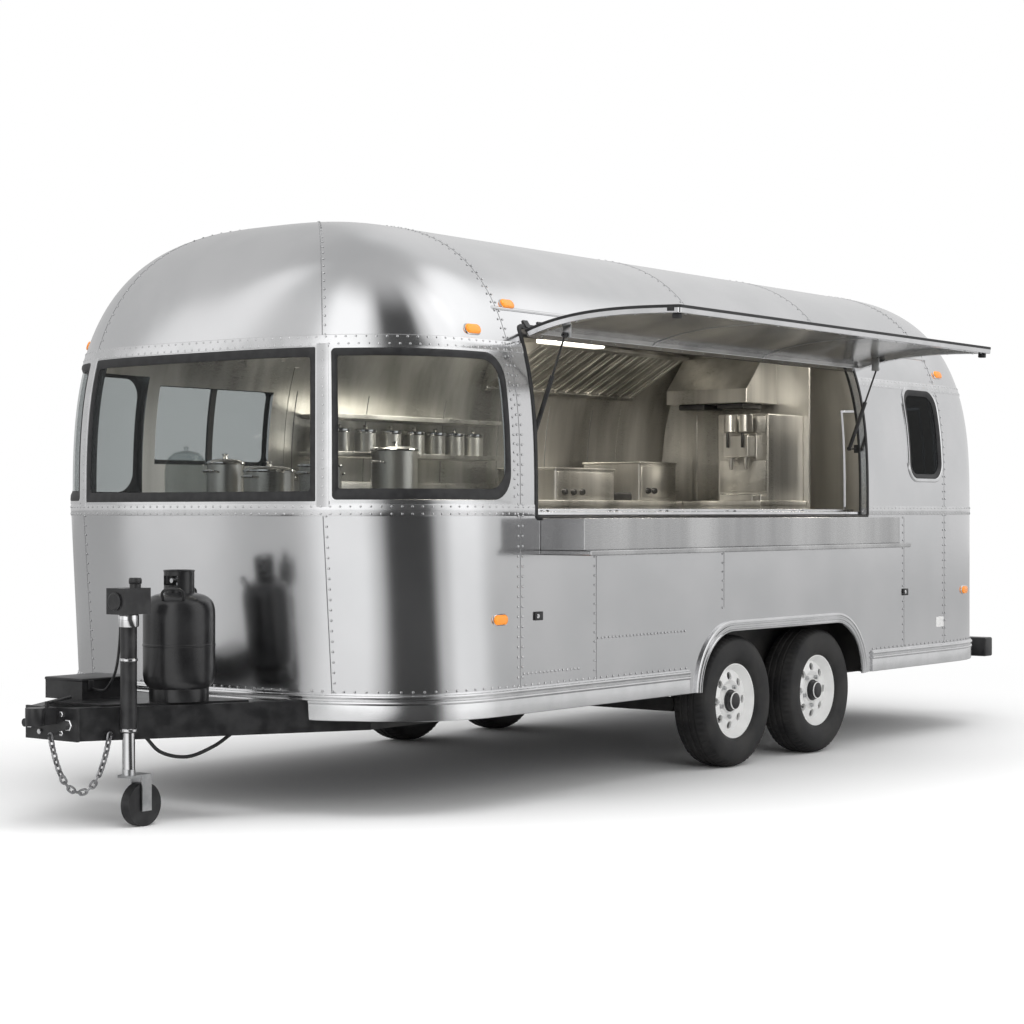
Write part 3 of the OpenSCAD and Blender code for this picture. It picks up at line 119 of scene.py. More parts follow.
class Tree:
    """A node tree with one method that makes any node."""

    def __init__(self, owner: bpy.types.Material | bpy.types.World) -> None:
        """Empties the owner's node tree and takes it over."""
        owner.use_nodes = True
        self.tree = owner.node_tree
        self.tree.nodes.clear()

    def add(
        self,
        kind: str,
        settings: dict[str, object] | None = None,
        inputs: dict[str | int, object] | None = None,
        out: str | int = 0,
    ) -> Socket:
        """Makes a node.

        Args:
            kind: Blender's type name of the node.
            settings: properties set first.
            inputs: values or links by socket name or place.
            out: the output that is handed back.

        Returns:
            The chosen output.
        """
        node = self.tree.nodes.new(kind)
        for key, value in (settings or {}).items():
            setattr(node, key, value)
        for key, value in (inputs or {}).items():
            if isinstance(value, Socket):
                self.tree.links.new(value.link, node.inputs[key])
            else:
                node.inputs[key].default_value = value
        return Socket(self, node.outputs[out]) if len(node.outputs) else None

    def place(self, scale: Sequence[float] = (1.0, 1.0, 1.0)) -> Socket:
        """Object coordinates, stretched."""
        where = self.add("ShaderNodeTexCoord", out="Object")
        return self.add("ShaderNodeMapping", {}, {"Vector": where, "Scale": tuple(scale)})

    def noise(self, scale: float, detail: float = 3.0, stretch: Sequence[float] = (1.0, 1.0, 1.0)) -> Socket:
        """Noise on stretched object coordinates."""
        return self.add(
            "ShaderNodeTexNoise", {}, {"Vector": self.place(stretch), "Scale": scale, "Detail": detail}
        )

    def tint(self, factor: Socket | float, first: Colour, second: Colour) -> Socket:
        """A colour between two."""
        return self.add(
            "ShaderNodeMix",
            {"data_type": "RGBA"},
            {0: factor, 6: (*first, 1.0), 7: (*second, 1.0)},
            2,
        )

    def bump(self, height: Socket, distance: float, under: Socket | None = None) -> Socket:
        """A Bump node that feeds Normal."""
        inputs: dict[str | int, object] = {"Height": height, "Distance": distance, "Strength": 1.0}
        if under is not None:
            inputs["Normal"] = under
        return self.add("ShaderNodeBump", {}, inputs)

    def principled(self, inputs: dict[str | int, object]) -> Socket:
        """A Principled shader."""
        return self.add("ShaderNodeBsdfPrincipled", {}, inputs)

    def close(self, shader: Socket, kind: str = "ShaderNodeOutputMaterial") -> None:
        """Joins the shader to the output."""
        self.add(kind, {}, {"Surface": shader})


@dataclass(frozen=True)
class Finish:
    """A painted, moulded or metal surface with small colour, gloss and relief changes."""

    name: str
    colour: Colour
    metallic: float = 0.0
    roughness: float = 0.5
    second: Colour | None = None
    patch: float = 6.0
    rough_spread: float = 0.08
    relief: float = 0.0
    grain: float = 220.0
    stretch: tuple[float, float, float] = (1.0, 1.0, 1.0)
    wave: float = 0.0
    coat: float = 0.0
    streak: tuple[float, float, float] = (1.0, 1.0, 1.0)

    def material(self) -> bpy.types.Material:
        """The finish as a material, made once."""
        made = bpy.data.materials.get(self.name)
        if made is None:
            made = bpy.data.materials.new(self.name)
            self.dress(Tree(made))
            made.diffuse_color = (*self.colour, 1.0)
        return made

    def dress(self, tree: Tree) -> None:
        """Fills the node tree: patchy colour and gloss, fine grain and a slow wave as relief; on the brushed
        steels the far lighter streaked patches are painted reflection bands.
        """
        cloud = tree.noise(self.patch, 4.0, self.streak)
        grain = tree.noise(self.grain, 2.0, self.stretch)
        second = self.second or tuple(min(1.0, c * 1.12 + 0.004) for c in self.colour)
        inputs: dict[str | int, object] = {
            "Base Color": tree.tint(cloud.between(0.3, 0.7), self.colour, second),
            "Roughness": self.roughness + self.rough_spread * (cloud + grain - 1.0),
            "Metallic": self.metallic,
            "Coat Weight": self.coat,
            "Coat Roughness": 0.05,
        }
        under = None
        if self.wave:
            under = tree.bump(tree.noise(1.7, 1.0, (1.0, 1.0, 0.6)), self.wave)
        if self.relief:
            under = tree.bump(grain, self.relief, under)
        if under is not None:
            inputs["Normal"] = under
        tree.close(tree.principled(inputs))


@dataclass(frozen=True)
class Glass(Finish):
    """Clear or tinted glass with a faint film."""

    roughness: float = 0.01

    def dress(self, tree: Tree) -> None:
        """Mirror-like glass: see-through straight on, glossy at a glance."""
        film = tree.noise(3.0, 4.0)
        clear = tree.add("ShaderNodeBsdfTransparent", {}, {"Color": (*self.colour, 1.0)})
        gloss = tree.principled({
            "Base Color": (0.02, 0.022, 0.024, 1.0),
            "Metallic": 0.0,
            "Roughness": self.roughness + 0.03 * film.between(0.45, 0.75),
            "Specular IOR Level": 1.0,
        })
        glance = tree.add("ShaderNodeLayerWeight", {}, {"Blend": 0.25}, "Facing")
        share = 0.1 + 0.6 * glance**3.0
        mixed = tree.add("ShaderNodeMixShader", {}, {0: share, 1: clear, 2: gloss})
        tree.close(mixed)


@dataclass(frozen=True)
class Lens(Finish):
    """Moulded lamp lens with fine ribs."""

    def dress(self, tree: Tree) -> None:
        """Deep colour with ribs as relief, a glossy coat and a faint painted glow in the lens's own colour.
        """
        ribs = tree.add(
            "ShaderNodeTexWave", {"wave_type": "BANDS"}, {"Vector": tree.place(), "Scale": 40.0}, "Fac"
        )
        tree.close(tree.principled({
            "Base Color": tree.tint(ribs, self.colour, self.second or self.colour),
            "Roughness": self.roughness,
            "Coat Weight": 0.6,
            "Coat Roughness": 0.05,
            # Painted glow: a faint light in the lens's own colour, with no lamp behind it.
            "Emission Color": (*self.colour, 1.0),
            "Emission Strength": 0.12,
            "Normal": tree.bump(ribs, 0.0006),
        }))


@dataclass(frozen=True)
class Glow(Finish):
    """A lamp's lit diffuser."""

    strength: float = 4.0

    def dress(self, tree: Tree) -> None:
        """Even light from a faintly patchy white."""
        cloud = tree.noise(9.0, 2.0)
        tree.close(tree.principled({
            "Base Color": tree.tint(cloud, (0.9, 0.9, 0.88), (0.95, 0.95, 0.94)),
            "Roughness": 0.4,
            "Emission Color": (*self.colour, 1.0),
            "Emission Strength": self.strength,
        }))


class Finishes(Enum):
    """Every finish on the trailer."""

    SKIN = Finish("polished_skin", (0.72, 0.725, 0.735), metallic=1.0, roughness=0.16,
                  second=(0.79, 0.79, 0.8), patch=2.2, rough_spread=0.07, relief=0.00002, grain=60.0,
                  stretch=(1.0, 1.0, 14.0), wave=0.0016)
    TRIM = Finish("bright_trim", (0.74, 0.745, 0.75), metallic=1.0, roughness=0.2, second=(0.82, 0.82, 0.83),
                  patch=9.0, relief=0.00003, grain=160.0)
    RIVET = Finish("rivet_heads", (0.66, 0.665, 0.67), metallic=1.0, roughness=0.28,
                   second=(0.78, 0.78, 0.79), patch=30.0, rough_spread=0.1)
    SEAM = Finish("seam_sealant", (0.2, 0.2, 0.205), metallic=0.35, second=(0.27, 0.27, 0.275), patch=20.0)
    # Painted highlights: the much lighter second colour, drawn out in upright streaks, paints bright
    # reflection bands into the steel's colour.
    STEEL = Finish("brushed_steel", (0.38, 0.372, 0.352), metallic=0.9, roughness=0.3,
                   second=(0.88, 0.865, 0.825), patch=3.0, rough_spread=0.12, relief=0.00004, grain=40.0,
                   stretch=(0.6, 0.6, 30.0), wave=0.0006, streak=(1.0, 1.0, 0.06))
    # Painted reflection: the darker base with lighter streaks along the counter paints the bright and dark
    # reflection bands of brushed steel into its colour.
    COUNTER = Finish("counter_steel", (0.44, 0.44, 0.445), metallic=1.0, roughness=0.27,
                     second=(0.72, 0.72, 0.72), patch=2.6, rough_spread=0.1, relief=0.00003, grain=40.0,
                     stretch=(0.5, 20.0, 20.0), wave=0.0003, streak=(1.0, 0.1, 0.05))
    # Painted reflection: the dark base with much lighter streaks along the liner paints reflection bands of
    # brushed steel into its colour.
    LINER = Finish("hatch_liner", (0.36, 0.356, 0.345), metallic=1.0, roughness=0.2,
                   second=(0.66, 0.65, 0.625), patch=2.4, rough_spread=0.1, relief=0.00003, grain=40.0,
                   stretch=(0.5, 24.0, 24.0), wave=0.0008, streak=(1.0, 0.08, 0.08))
    DARK_STEEL = Finish("louvre_steel", (0.42, 0.41, 0.39), metallic=1.0, roughness=0.34,
                        second=(0.5, 0.49, 0.47), patch=8.0, rough_spread=0.1)
    BLACK = Finish("black_enamel", (0.012, 0.012, 0.013), roughness=0.34, second=(0.03, 0.03, 0.031),
                   patch=14.0, rough_spread=0.14, relief=0.00012, grain=260.0)
    BOTTLE = Finish("bottle_enamel", (0.01, 0.01, 0.011), roughness=0.3, second=(0.02, 0.02, 0.021),
                    patch=9.0, rough_spread=0.1, relief=0.0001, grain=300.0, coat=0.25)
    RUBBER = Finish("gasket_rubber", (0.012, 0.012, 0.013), second=(0.024, 0.024, 0.025), patch=25.0,
                    rough_spread=0.1, relief=0.0001)
    TYRE = Finish("tyre_rubber", (0.013, 0.013, 0.014), roughness=0.62, second=(0.032, 0.031, 0.03),
                  patch=7.0, rough_spread=0.14, relief=0.0004, grain=380.0)
    WHITE = Finish("white_wheel_paint", (0.78, 0.78, 0.77), roughness=0.32, second=(0.84, 0.84, 0.83),
                   patch=11.0, rough_spread=0.1, relief=0.00008, grain=240.0, coat=0.3)
    ZINC = Finish("zinc_plate", (0.52, 0.53, 0.54), metallic=1.0, roughness=0.33, second=(0.66, 0.665, 0.67),
                  patch=22.0, rough_spread=0.16, relief=0.0001, grain=200.0)
    CHAIN = Finish("chain_steel", (0.3, 0.3, 0.31), metallic=1.0, roughness=0.38, second=(0.48, 0.48, 0.49),
                   patch=40.0, rough_spread=0.16)
    CHROME = Finish("chrome", (0.8, 0.8, 0.81), metallic=1.0, roughness=0.08, second=(0.86, 0.86, 0.87),
                    patch=10.0, rough_spread=0.04)
    FLOORING = Finish("flooring", (0.1, 0.1, 0.105), roughness=0.6, second=(0.15, 0.15, 0.155), patch=12.0,
                      rough_spread=0.1, relief=0.0004)
    UNDERSIDE = Finish("chassis_paint", (0.015, 0.015, 0.016), roughness=0.55, second=(0.04, 0.038, 0.036),
                       patch=8.0, rough_spread=0.15, relief=0.0003)
    PANE = Glass("window_glass", (0.8, 0.815, 0.815))
    DARK_PANE = Glass("dark_window_glass", (0.2, 0.215, 0.225))
    JAR = Glass("jar_glass", (0.93, 0.95, 0.95))
    AMBER = Lens("amber_lens", (0.9, 0.25, 0.01), roughness=0.22, second=(1.0, 0.36, 0.03))
    RED = Lens("red_lens", (0.5, 0.012, 0.01), roughness=0.22, second=(0.68, 0.03, 0.02))
    TUBE = Glow("lamp_diffuser", (1.0, 0.93, 0.8), strength=1.5)

    @property
    def material(self) -> bpy.types.Material:
        """The finish's material."""
        return self.value.material()


@dataclass
class Shape:
    """Points and faces of a piece, with a finish number for each face."""

    points: Array
    faces: list[Array]
    marks: list[Array] = field(default_factory=list)

    def __post_init__(self) -> None:
        """Gives every face finish 0 where nothing else is said."""
        if not self.marks:
            self.marks = [np.zeros(len(f), int) for f in self.faces]

    @staticmethod
    def join(shapes: Sequence[Shape]) -> Shape:
        """Several shapes as one."""
        starts = np.cumsum([0] + [len(s.points) for s in shapes[:-1]])
        return Shape(
            np.concatenate([s.points for s in shapes]),
            [f + start for s, start in zip(shapes, starts) for f in s.faces],
            [m for s in shapes for m in s.marks],
        )

    def marked(self, mark: int) -> Shape:
        """The same shape with one finish number all over."""
        return Shape(self.points, self.faces, [np.full(len(f), mark) for f in self.faces])

    def moved(self, matrix: Matrix) -> Shape:
        """The shape carried by a 4x4 matrix."""
        m = np.array(matrix)
        return Shape(self.points @ m[:3, :3].T + m[:3, 3], self.faces, self.marks)

    def put(self, x: float, y: float, z: float) -> Shape:
        """The shape carried to a place given from the axles' midpoint."""
        return Shape(self.points + (SHIFT + (x, y, z)), self.faces, self.marks)

    def build(
        self,
        name: str,
        finishes: Sequence[Finishes],
        replaces: Sequence[str] = (),
        body: str = "trailer",
        crease: float = 32.0,
    ) -> bpy.types.Object:
        """Makes the piece.

        Args:
            name: the piece's name.
            finishes: finishes in the order of the face numbers.
            replaces: solids that it stands for.
            body: the body it rides on.
            crease: edges sharper than this many degrees stay sharp.

        Returns:
            The object.
        """
        mesh = bpy.data.meshes.new(name)
        mesh.from_pydata(self.points.tolist(), [], [face for f in self.faces for face in f.tolist()])
        mesh.polygons.foreach_set("material_index", np.concatenate(self.marks).astype(np.int32))
        work = bmesh.new()
        work.from_mesh(mesh)
        bmesh.ops.remove_doubles(work, verts=work.verts, dist=2e-6)
        bmesh.ops.dissolve_degenerate(work, edges=work.edges, dist=1e-7)
        bmesh.ops.recalc_face_normals(work, faces=work.faces)
        work.to_mesh(mesh)
        work.free()
        mesh.polygons.foreach_set("use_smooth", np.ones(len(mesh.polygons), bool))
        mesh.set_sharp_from_angle(angle=math.radians(crease))
        for finish in finishes:
            mesh.materials.append(finish.material)
        made = bpy.data.objects.new(name, mesh)
        bpy.context.scene.collection.objects.link(made)
        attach(made, body)
        if replaces:
            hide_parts(*replaces)
        LOG.info("%s: %d faces on %s", name, len(mesh.polygons), body)
        return made


def grid_faces(rows: int, columns: int, wrap_rows: bool = False, wrap_columns: bool = False) -> Array:
    """Quads between neighbouring points of a grid, joined round where it wraps."""
    i = np.arange(rows if wrap_rows else rows - 1)[:, None]
    j = np.arange(columns if wrap_columns else columns - 1)[None, :]
    up, over = (i + 1) % rows, (j + 1) % columns
    return np.stack(
        np.broadcast_arrays(i * columns + j, up * columns + j, up * columns + over, i * columns + over), -1
    ).reshape(-1, 4)


def thick_sheet(outer: Array, inner: Array, keep: Array | None = None) -> Shape:
    """A closed sheet between two grids of points.

    Args:
        outer: points of the outer face, rows by columns.
        inner: points of the inner face.
        keep: cells that stay; the edges of the rest are closed.

    Returns:
        Outer faces marked 0, inner faces 1 and edges 0.
    """
    rows, columns = outer.shape[:2]
    if keep is None:
        keep = np.ones((rows - 1, columns - 1), bool)
    index = np.arange(rows * columns).reshape(rows, columns)
    a, b, c, d = index[:-1, :-1], index[1:, :-1], index[1:, 1:], index[:-1, 1:]
    front = np.stack([a, b, c, d], -1)[keep]
    back = np.stack([a, d, c, b], -1)[keep] + rows * columns
    wide = np.pad(keep, 1)
    edges = []
    for corner, other, beside in (
        (a, d, wide[:-2, 1:-1]), (c, b, wide[2:, 1:-1]), (b, a, wide[1:-1, :-2]), (d, c, wide[1:-1, 2:]),
    ):
        border = keep & ~beside
        edges.append(np.stack([corner, other, other + rows * columns, corner + rows * columns], -1)[border])
    edge = np.concatenate(edges)
    used, fresh = np.unique(np.concatenate([front, back, edge]), return_inverse=True)
    fresh = fresh.reshape(-1, 4)
    cuts = np.split(fresh, [len(front), len(front) + len(back)])
    points = np.concatenate([outer.reshape(-1, 3), inner.reshape(-1, 3)])[used]
    return Shape(points, cuts, [np.zeros(len(front), int), np.ones(len(back), int), np.zeros(len(edge), int)])


def turned_form(profile: Array, steps: int = 48) -> Shape:
    """A profile of radius and height turned about Z; its ends are capped where they stand off the axis."""
    a = np.linspace(0, 2 * np.pi, steps, endpoint=False)
    profile = np.asarray(profile, float)
    points = np.stack(
        [profile[:, :1] * np.cos(a), profile[:, :1] * np.sin(a), np.repeat(profile[:, 1:], steps, 1)], -1
    )
    faces = [grid_faces(len(profile), steps, False, True)]
    if profile[0, 0] > 1e-6:
        faces.append(np.arange(steps)[None, :])
    if profile[-1, 0] > 1e-6:
        faces.append((np.arange(steps) + (len(profile) - 1) * steps)[None, :])
    return Shape(points.reshape(-1, 3), faces)


def ring_form(section: Array, steps: int = 64) -> Shape:
    """A closed section of radius and height turned about Z into a ring."""
    a = np.linspace(0, 2 * np.pi, steps, endpoint=False)
    section = np.asarray(section, float)
    points = np.stack(
        [section[:, :1] * np.cos(a), section[:, :1] * np.sin(a), np.repeat(section[:, 1:], steps, 1)], -1
    )
    return Shape(points.reshape(-1, 3), [grid_faces(len(section), steps, True, True)])


def soft_box(low: Sequence[float], high: Sequence[float], radius: float, steps: int = 3) -> Shape:
    """A box with rounded edges: directions of a sphere, each pushed out to its corner of the box."""
    low, high = np.asarray(low, float), np.asarray(high, float)
    quarter = np.linspace(0, np.pi / 2, steps + 1)
    around = np.concatenate([quarter + k * np.pi / 2 for k in range(4)])
    sign_x = np.repeat([1, -1, -1, 1], steps + 1)
    sign_y = np.repeat([1, 1, -1, -1], steps + 1)
    tilt = np.concatenate([quarter - np.pi / 2, quarter])
    sign_z = np.repeat([-1, 1], steps + 1)
    half = (high - low) / 2 - radius
    x = np.cos(tilt)[:, None] * np.cos(around) * radius + sign_x * half[0]
    y = np.cos(tilt)[:, None] * np.sin(around) * radius + sign_y * half[1]
    z = (np.sin(tilt) * radius + sign_z * half[2])[:, None] + 0 * x
    points = np.stack([x, y, z], -1).reshape(-1, 3) + (low + high) / 2
    n = len(around)
    caps = [np.arange(n)[None, ::-1], (np.arange(n) + (len(tilt) - 1) * n)[None, :]]
    return Shape(points, [grid_faces(len(tilt), n, False, True), *caps])


def tube(path: Array, radius: float | Array, sides: int = 10, closed: bool = False) -> Shape:
    """A round tube along a path: rings square to the path, turned by the least twist from a fixed side."""
    path = np.asarray(path, float)
    if closed:
        along = np.roll(path, -1, 0) - np.roll(path, 1, 0)
    else:
        along = np.gradient(path, axis=0)
    along /= np.linalg.norm(along, axis=1, keepdims=True)
    spread = np.ptp(path, axis=0)
    side = np.eye(3)[int(np.argmin(spread))]
    first = np.cross(along, side)
    first /= np.linalg.norm(first, axis=1, keepdims=True)
    second = np.cross(along, first)
    a = np.linspace(0, 2 * np.pi, sides, endpoint=False)
    size = np.broadcast_to(np.asarray(radius, float), (len(path),))[:, None, None]
    around = first[:, None] * np.cos(a)[:, None] + second[:, None] * np.sin(a)[:, None]
    points = path[:, None] + size * around
    faces = [grid_faces(len(path), sides, closed, True)]
    if not closed:
        faces += [np.arange(sides)[None, :], (np.arange(sides) + (len(path) - 1) * sides)[None, :]]
    return Shape(points.reshape(-1, 3), faces)


def smooth_path(corners: Sequence[Sequence[float]], steps: int = 10) -> Array:
    """A smooth curve through a few points: cubic pieces whose slopes are half the gap between neighbours."""
    p = np.asarray(corners, float)
    slope = np.gradient(p, axis=0)
    t = np.linspace(0, 1, steps, endpoint=False)[:, None]
    parts = (
        (2 * t**3 - 3 * t**2 + 1) * p[:-1, None] + (t**3 - 2 * t**2 + t) * slope[:-1, None]
        + (3 * t**2 - 2 * t**3) * p[1:, None] + (t**3 - t**2) * slope[1:, None]
    )
    return np.concatenate([parts.reshape(-1, p.shape[1]), p[-1:]])


def even_path(path: Array, step: float) -> Array:
    """The same path with points an even step apart."""
    run = np.concatenate([[0], np.cumsum(np.linalg.norm(np.diff(path, axis=0), axis=1))])
    places = np.linspace(0, run[-1], max(2, round(run[-1] / step) + 1))
    return np.stack([np.interp(places, run, path[:, k]) for k in range(path.shape[1])], -1)


def heads(points: Array, normals: Array, radius: float, height: float, sides: int = 8) -> Shape:
    """Domed heads standing on a surface: three rings and a pole for each."""
    points, normals = np.asarray(points, float).reshape(-1, 3), np.asarray(normals, float).reshape(-1, 3)
    side = np.where(np.abs(normals[:, 2:]) > 0.9, [[1.0, 0.0, 0.0]], [[0.0, 0.0, 1.0]])
    first = np.cross(normals, side)
    first /= np.linalg.norm(first, axis=1, keepdims=True)
    second = np.cross(normals, first)
    a = np.linspace(0, 2 * np.pi, sides, endpoint=False)
    reach, rise = np.array([1.0, 0.86, 0.5]), np.array([-0.15, 0.5, 0.88])
    turn = first[:, None, None] * np.cos(a)[:, None] + second[:, None, None] * np.sin(a)[:, None]
    rings = points[:, None, None] + radius * reach[:, None, None] * turn
    rings = rings + (height * rise)[:, None, None] * normals[:, None, None]
    tops = points + height * normals
    every = np.concatenate([rings.reshape(len(points), -1, 3), tops[:, None]], 1)
    size = 3 * sides + 1
    start = (np.arange(len(points)) * size)[:, None, None]
    quads = (grid_faces(3, sides, False, True)[None] + start).reshape(-1, 4)
    k = np.arange(sides)
    cap = np.stack([2 * sides + k, 2 * sides + (k + 1) % sides, np.full(sides, 3 * sides)], -1)
    caps = (cap[None] + start).reshape(-1, 3)
    base = np.arange(sides)[None, ::-1] + start[:, 0]
    return Shape(every.reshape(-1, 3), [quads, caps, base])


class Zone(Enum):
    """The four parts of the skin."""

    FRONT = "front"
    REAR = "rear"
    LEFT = "left"
    RIGHT = "right"


@dataclass(frozen=True)
class ShellForm:
    """The trailer's skin: a flat-sided tube with rounded ends, all sections of one fullness."""

    half_w: float = 1.220
    front_start: float = 2.376
    rear_start: float = 1.900
    end_reach: float = 0.870
    front_tuck: float = 0.075
    skirt_z: float = 0.420
    belt_z: float = 1.335
    eave_z: float = 2.085
    wall_top_z: float = 2.245
    roof_z: float = 2.700
    wall_t: float = 0.040
    fullness: float = 3.0

    @property
    def crown(self) -> float:
        """Height of the roof over the belt."""
        return self.roof_z - self.belt_z

    def lift(self, z: Array) -> Array:
        """Share of the way from the belt to the roof."""
        return np.clip((np.asarray(z, float) - self.belt_z) / self.crown, 0.0, 1.0)

    def waist(self, z: Array) -> Array:
        """How far the section has drawn in at a height, 1 at the belt and 0 at the crown."""
        return (1.0 - self.lift(z) ** self.fullness) ** (1.0 / self.fullness)

    def lobe(self, angle: Array) -> Array:
        """Reach of the full ellipse of unit size in a direction."""
        c, s = np.abs(np.cos(angle)), np.abs(np.sin(angle))
        return (c**self.fullness + s**self.fullness) ** (-1.0 / self.fullness)

    def rise(self, share: Array) -> Array:
        """Heights spread evenly round the shoulder, from the belt at 0 to the crown at 1."""
        a = np.asarray(share, float) * np.pi / 2
        return self.belt_z + self.crown * np.sin(a) * self.lobe(a)

    def share_of(self, z: float) -> float:
        """The shoulder share of a height."""
        return float(np.arctan2(self.lift(z), self.waist(z)) / (np.pi / 2))

    def _height(self, z: Array, deep: Array) -> Array:
        """Height of a point some depth inside the skin."""
        return np.where(z > self.belt_z, self.belt_z + (self.crown - deep) * self.lift(z), z)

    def end(self, angle: Array, z: Array, deep: Array, front: bool) -> Array:
        """Points of a rounded end at plan angles and heights, some depth inside the skin."""
        angle, z, deep = np.broadcast_arrays(*(np.asarray(v, float) for v in (angle, z, deep)))
        most = self.front_tuck if front else 0.0
        tuck = most * np.maximum(0.0, self.belt_z - z) / (self.belt_z - self.skirt_z)
        scale = self.waist(z) * self.lobe(angle)
        out = (self.end_reach - tuck - deep) * scale * np.cos(angle)
        x = self.front_start + out if front else -self.rear_start - out
        y = (self.half_w - deep) * scale * np.sin(angle)
        return np.stack([x, y, self._height(z, deep)], -1) + SHIFT

    def side(self, x: Array, z: Array, deep: Array, hand: float) -> Array:
        """Points of a flat side at places along it and heights."""
        x, z, deep = np.broadcast_arrays(*(np.asarray(v, float) for v in (x, z, deep)))
        return np.stack([x, hand * (self.half_w - deep) * self.waist(z), self._height(z, deep)], -1) + SHIFT

    def run_table(self) -> tuple[Array, Array]:
        """Plan angles and the length along the end's plan curve from its middle."""
        a = np.linspace(-np.pi / 2, np.pi / 2, 1441)
        p = np.stack([self.end_reach * np.cos(a), self.half_w * np.sin(a)], -1) * self.lobe(a)[:, None]
        run = np.concatenate([[0], np.cumsum(np.linalg.norm(np.diff(p, axis=0), axis=1))])
        return a, run - run[len(run) // 2]

    def run(self, degrees: float) -> float:
        """Length along the plan curve from the middle of the end to a plan angle."""
        a, run = self.run_table()
        return float(np.interp(math.radians(degrees), a, run))


@dataclass(frozen=True)
class Patch:
    """One part of the skin, addressed by a length along it and a height."""

    form: ShellForm
    zone: Zone

    def at(self, u: Array, z: Array, deep: Array = 0.0) -> Array:
        """Points at a length along the zone, a height and a depth inside the skin."""
        if self.zone in (Zone.LEFT, Zone.RIGHT):
            return self.form.side(u, z, deep, 1.0 if self.zone is Zone.LEFT else -1.0)
        a, run = self.form.run_table()
        return self.form.end(np.interp(u, run, a), z, deep, self.zone is Zone.FRONT)

    def normal(self, u: Array, z: Array) -> Array:
        """Outward unit normals, from the two slopes of the surface."""
        step = 1e-4
        n = np.cross(self.at(u + step, z) - self.at(u - step, z), self.at(u, z + step) - self.at(u, z - step))
        n /= np.linalg.norm(n, axis=-1, keepdims=True)
        p = self.at(u, z) - SHIFT
        core = np.stack([np.clip(p[..., 0], -self.form.rear_start, self.form.front_start), 0 * p[..., 1],
                         np.minimum(p[..., 2], self.form.belt_z)], -1)
        return n * np.sign(np.sum(n * (p - core), -1, keepdims=True))

    def bar(self, path: Array, section: Array, closed: bool = False) -> Shape:
        """A bar on the skin.

        Args:
            path: places along and heights that its middle follows.
            section: closed outline of offsets across the path and depths.
            closed: joins the path's ends.

        Returns:
            The profile carried along the path.
        """
        path, section = np.asarray(path, float), np.asarray(section, float)
        along = np.roll(path, -1, 0) - np.roll(path, 1, 0) if closed else np.gradient(path, axis=0)
        along /= np.linalg.norm(along, axis=1, keepdims=True)
        across = np.stack([-along[:, 1], along[:, 0]], -1)
        where = path[:, None] + section[None, :, :1] * across[:, None]
        points = self.at(where[..., 0], where[..., 1], section[None, :, 1])
        n, k = points.shape[:2]
        faces = [grid_faces(n, k, closed, True)]
        if not closed:
            faces += [np.arange(k)[None, :], (np.arange(k) + (n - 1) * k)[None, :]]
        return Shape(points.reshape(-1, 3), faces)

    def ring(self, outer: Array, inner: Array, section: Array) -> Shape:
        """A frame on the skin between two closed outlines; its section gives shares across and depths."""
        section = np.asarray(section, float)
        where = outer[:, None] * (1 - section[:, :1]) + inner[:, None] * section[:, :1]
        points = self.at(where[..., 0], where[..., 1], section[None, :, 1])
        return Shape(points.reshape(-1, 3), [grid_faces(len(outer), len(section), True, True)])

    def row(self, path: Array, step: float) -> tuple[Array, Array]:
        """Points and normals an even step apart along a path on the skin."""
        fine = even_path(np.asarray(path, float), 0.004)
        p = self.at(fine[:, 0], fine[:, 1])
        run = np.concatenate([[0], np.cumsum(np.linalg.norm(np.diff(p, axis=0), axis=1))])
        places = np.linspace(0, run[-1], max(2, round(run[-1] / step) + 1))
        u, z = np.interp(places, run, fine[:, 0]), np.interp(places, run, fine[:, 1])
        return self.at(u, z), self.normal(u, z)


@dataclass(frozen=True)
class Loop:
    """A closed outline with four rounded corners, drawn along and up."""

    low: tuple[float, float]
    high: tuple[float, float]
    radii: tuple[float, float, float, float]

    def points(self, corner: int = 10, edge: int = 24) -> Array:
        """The outline from its high corner on round, with as many points on every loop."""
        (x0, z0), (x1, z1) = self.low, self.high
        corners = [(x1, z1, -1, -1, 0.0), (x0, z1, 1, -1, 90.0), (x0, z0, 1, 1, 180.0),
                   (x1, z0, -1, 1, 270.0)]
        arcs = []
        for (x, z, sx, sz, start), r in zip(corners, self.radii):
            a = np.radians(start + np.linspace(0, 90, corner))
            arcs.append(np.stack([x + sx * r + r * np.cos(a), z + sz * r + r * np.sin(a)], -1))
        t = np.linspace(0, 1, edge + 2)[1:-1, None]
        runs = [np.concatenate([a, a[-1] * (1 - t) + b[0] * t]) for a, b in zip(arcs, arcs[1:] + arcs[:1])]
        return np.concatenate(runs)

    def grown(self, by: float, radius_by: float | None = None) -> Loop:
        """The outline moved outwards all round."""
        more = by if radius_by is None else radius_by
        return Loop((self.low[0] - by, self.low[1] - by), (self.high[0] + by, self.high[1] + by),
                    tuple(max(0.001, r + more) for r in self.radii))


def strap(width: float, height: float, sink: float = 0.0008) -> Array:
    """Section of a flat strip with eased edges, standing on the skin."""
    w, c = width / 2, min(height, width / 5)
    return np.array([(-w, sink), (-w, -height * 0.5), (-w + c, -height), (w - c, -height), (w, -height * 0.5),
                     (w, sink)])


def ridge(width: float, height: float, sink: float = 0.0008, steps: int = 7) -> Array:
    """Section of a half-round bead standing on the skin."""
    a = np.linspace(np.pi, 0, steps)
    return np.concatenate([np.stack([np.cos(a) * width / 2, -np.sin(a) * height], -1), [[width / 2, sink]],
                           [[-width / 2, sink]]])


